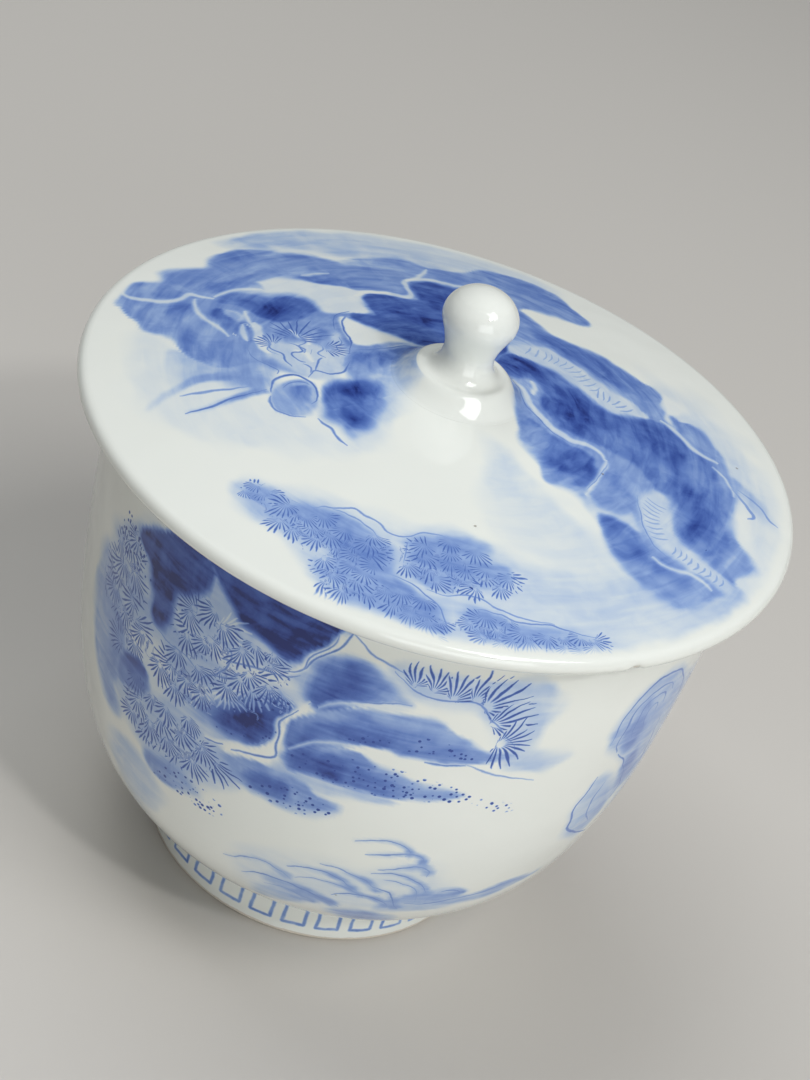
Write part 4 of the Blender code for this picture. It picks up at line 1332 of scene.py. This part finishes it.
def foot_glaze(name):
    """Glaze with a painted band, wiped off the resting edge, with a rusty line where it stops."""
    n = Nodes(name)
    x, y, z = n.position()
    height = n.times(z, 1 / MM)
    edge = n.add(height, n.uneven(1.5, 0.5, detail=3.0))
    rust = n.times(n.times(n.rise(edge, 0.5, 0.7), n.fall(edge, 0.7, 1.0)), 0.4)
    painted = n.mix(rust, n.ramp(foot_band(n, x, y, height), COBALT), RUST_LINE)
    clay = n.mix(rust, n.ramp(n.noise(0.5, detail=4.0, roughness=0.7), BARE_CLAY), RUST_LINE)
    return glaze(n, painted, n.fall(edge, 0.55, 0.75), clay)


def floor_paint(name):
    n = Nodes(name)
    n.feed(n.surface["Base Color"], FLOOR)
    n.feed(n.surface["Roughness"], 0.7)
    return n.material


# ------------------------------------------------------------ the pieces

LID_SEGMENTS = 540
BOWL_SEGMENTS = 420
RING_SEGMENTS = 256
KNOB_SEGMENTS = 192
# How far, in mm, the glaze draws the knob's thin skirt down onto the dome, and the gap it leaves at the foot.
SEAM_FILLED = 0.56
FOOT_GAP = 0.02
# The radius in mm at which a hand-turned piece is out of round by its full amount.
HAND_RADIUS = 50
# A flake knocked off the lid's lower edge: its bearing, and its reach and depth in mm.
CHIP_BEARING = math.radians(39)
CHIP_REACH = 1.5
CHIP_DEPTH = 0.45


def hand_turned(amount, lobes, phase):
    """A bend that leaves a turned piece out of round by this many mm, as hand work is."""
    def bend(points):
        angle = np.arctan2(points[:, 0], -points[:, 1])
        share = np.clip(np.hypot(points[:, 0], points[:, 1]) / HAND_RADIUS, 0, 1)
        swell = 1 + amount / HAND_RADIUS * np.cos(lobes * angle + phase) * share
        return points * np.stack([swell, swell, np.ones(len(points))], axis=1)
    return bend


def chip_share(points):
    """How deep in the chip each point lies, 0 to 1."""
    x, y = LID_RADIUS * math.sin(CHIP_BEARING), -LID_RADIUS * math.cos(CHIP_BEARING)
    away = np.linalg.norm(points - (x, y, LID_SEAT + 0.5), axis=-1)
    return np.clip(1 - away / CHIP_REACH, 0, 1)


def chipped(points):
    """The lid's points with the flake gone: pushed in toward the axis, and up where they were below it."""
    depth = CHIP_DEPTH * chip_share(points) ** 0.7
    inward = 1 - depth / np.maximum(np.hypot(points[:, 0], points[:, 1]), 1e-6)
    moved = points * np.stack([inward, inward, np.ones(len(points))], axis=1)
    moved[:, 2] += depth * 0.5 * (points[:, 2] < LID_SEAT + 1.2)
    return moved


def finish_piece(obj, material, body, node):
    """Gives a piece its material and its body, and hides the CAD node it stands for."""
    obj.data.materials.append(material)
    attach(obj, body)
    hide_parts(node)


def paint_on(obj, points, spots, painted, paint, wrap=None):
    """Has the brush paint a piece where it is to be painted, at these places on its surface."""
    painting = Painting(points, spots, painted, wrap)
    paint(painting)
    painting.store(obj.data)


def make_bowl():
    """The bowl, painted on the outside. Its inside and its lip are left white."""
    profile = smooth_profile("bowl", 0.52)
    profile = thinned(profile, np.arange(len(profile)) < np.argmax(profile[:, 1]) - 4)
    obj, points = turned_piece("bowl_body", profile, BOWL_SEGMENTS, bend=hand_turned(0.12, 2, 0.7))
    ring = np.arange(len(points)) // BOWL_SEGMENTS
    outside = (ring >= np.argmax(profile[:, 1])) & (ring < ring[-1]) & (points[:, 2] > BOWL_BASE + 0.6)
    turn = np.degrees(np.arctan2(points[:, 0], -points[:, 1]))
    spots = np.stack([turn * DEGREE, points[:, 2]], axis=1)
    paint_on(obj, points, spots, outside, paint_bowl, wrap=360 * DEGREE)
    finish_piece(obj, bowl_glaze("bowl_glaze"), "cup", "bowl")


def make_foot_ring():
    profile = smooth_profile("foot_ring", 0.35)
    profile[profile[:, 1] > FOOT_TOP - 0.2, 1] = BOWL_BASE - FOOT_GAP
    obj, _ = turned_piece("foot_ring_body", profile, RING_SEGMENTS, closed=True)
    finish_piece(obj, foot_glaze("foot_glaze"), "cup", "foot_ring")


def make_lid():
    """The lid, painted on its top. Its underside is left white."""
    profile = smooth_profile("lid", 0.42)
    profile = thinned(profile, np.arange(len(profile)) > np.argmax(profile[:, 0]) + 6)
    out_of_round = hand_turned(0.18, 2, 2.2)
    obj, points = turned_piece(
        "lid_body", profile, LID_SEGMENTS, bend=lambda points: chipped(out_of_round(points)))
    topside = np.arange(len(points)) // LID_SEGMENTS < np.argmax(profile[:, 0])
    # The two points on the axis come after the rings, the upper one first.
    topside[-2] = True
    paint_on(obj, points, points[:, :2], topside, paint_lid)
    put(obj.data, "chipped", chip_share(points))
    finish_piece(obj, lid_glaze("lid_glaze", chipped=True), "lid", "lid")


def make_locating_ring():
    profile = smooth_profile("locating_ring", 0.4)
    obj, _ = turned_piece("locating_ring_body", profile, RING_SEGMENTS, closed=True)
    finish_piece(obj, plain_glaze("ring_glaze"), "lid_carrier", "locating_ring")


def make_knob():
    """The knob. The glaze has run into the seam, so its skirt is drawn down until it meets the dome."""
    profile = smooth_profile("knob", 0.22)
    radius = profile[:, 0]
    profile[:, 1] -= SEAM_FILLED * smooth_step(radius, 0.66 * SKIRT_RADIUS, 0.98 * SKIRT_RADIUS)
    glazed_over = (radius > 0.42 * SKIRT_RADIUS) & (radius < 0.93 * SKIRT_RADIUS)
    above = np.arange(len(profile)) < np.argmax(radius)
    profile = softened(profile, glazed_over & above, 14)
    obj, points = turned_piece("knob_body", profile, KNOB_SEGMENTS)
    above = np.arange(len(points)) // KNOB_SEGMENTS < np.argmax(profile[:, 0])
    on_skirt = above & (np.hypot(points[:, 0], points[:, 1]) > 0.68 * SKIRT_RADIUS)
    paint_on(obj, points, points[:, :2], on_skirt, paint_lid)
    finish_piece(obj, lid_glaze("knob_glaze"), "lid", "knob")


# ------------------------------------------------------------ the stage

# The lights, all aimed at this height in metres on the axis: (bearing, elevation, distance, size, watts,
# colour). Bearing 0 is the viewer's side and 90 is +X.
LIGHTS_AIM = 0.06
WHITE = (1, 1, 1)
COOL = (0.95, 0.98, 1.0)
LIGHTS = {
    "key_softbox": (56, 57, 1.2, 0.5, 5.4, WHITE),
    "low_fill": (25, 7, 1.2, 0.9, 7.6, COOL),
    "overhead": (232, 66, 1.3, 0.9, 9.0, COOL),
    "lamp": (42, 48, 1.3, 0.09, 3.0, WHITE),
}

# The viewer looks at a point on the axis this high, from this elevation and distance, with the camera rolled.
AIM_HEIGHT = 61.7 * MM
CAMERA_ELEVATION = math.radians(34.98)
CAMERA_DISTANCE = 298.1 * MM
CAMERA_ROLL = math.radians(18.85)
CAMERA_LENS = 63.3

# Faint light from all round, so that no shadow is quite black.
WORLD_COLOUR = (0.95, 0.97, 1.0, 1)
WORLD_STRENGTH = 0.06


def toward(bearing, elevation):
    """The unit vector from the axis toward a bearing and an elevation in degrees."""
    turn, lift = math.radians(bearing), math.radians(elevation)
    return Vector((math.sin(turn) * math.cos(lift), -math.cos(turn) * math.cos(lift), math.sin(lift)))


def make_floor():
    bpy.ops.mesh.primitive_plane_add(size=6.0, location=(0, 0, 0))
    floor = bpy.context.active_object
    floor.name = "floor"
    floor.data.materials.append(floor_paint("floor"))


def make_lights():
    for name, (bearing, elevation, distance, size, watts, colour) in LIGHTS.items():
        away = toward(bearing, elevation)
        data = bpy.data.lights.new(name, "AREA")
        data.size = size
        data.energy = watts
        data.color = colour
        light = bpy.data.objects.new(name, data)
        light.location = Vector((0, 0, LIGHTS_AIM)) + away * distance
        light.rotation_euler = (-away).to_track_quat("-Z", "Y").to_euler()
        light.visible_glossy = name != "overhead"
        bpy.context.scene.collection.objects.link(light)


def make_world():
    world = bpy.data.worlds.new("studio")
    world.use_nodes = True
    background = world.node_tree.nodes["Background"]
    background.inputs["Color"].default_value = WORLD_COLOUR
    background.inputs["Strength"].default_value = WORLD_STRENGTH
    bpy.context.scene.world = world


def make_camera():
    data = bpy.data.cameras.new("viewer")
    data.lens = CAMERA_LENS
    data.sensor_width = 36
    data.clip_start = 0.01
    camera = bpy.data.objects.new("viewer", data)
    back = Vector((0, -math.cos(CAMERA_ELEVATION), math.sin(CAMERA_ELEVATION)))
    place = Matrix.Translation(Vector((0, 0, AIM_HEIGHT)) + back * CAMERA_DISTANCE)
    facing = back.to_track_quat("Z", "Y").to_matrix().to_4x4()
    camera.matrix_world = place @ facing @ Matrix.Rotation(CAMERA_ROLL, 4, "Z")
    bpy.context.scene.collection.objects.link(camera)
    bpy.context.scene.camera = camera


make_bowl()
make_foot_ring()
make_lid()
make_locating_ring()
make_knob()
make_floor()
make_lights()
make_world()
make_camera()
bpy.context.scene.view_settings.view_transform = "Standard"
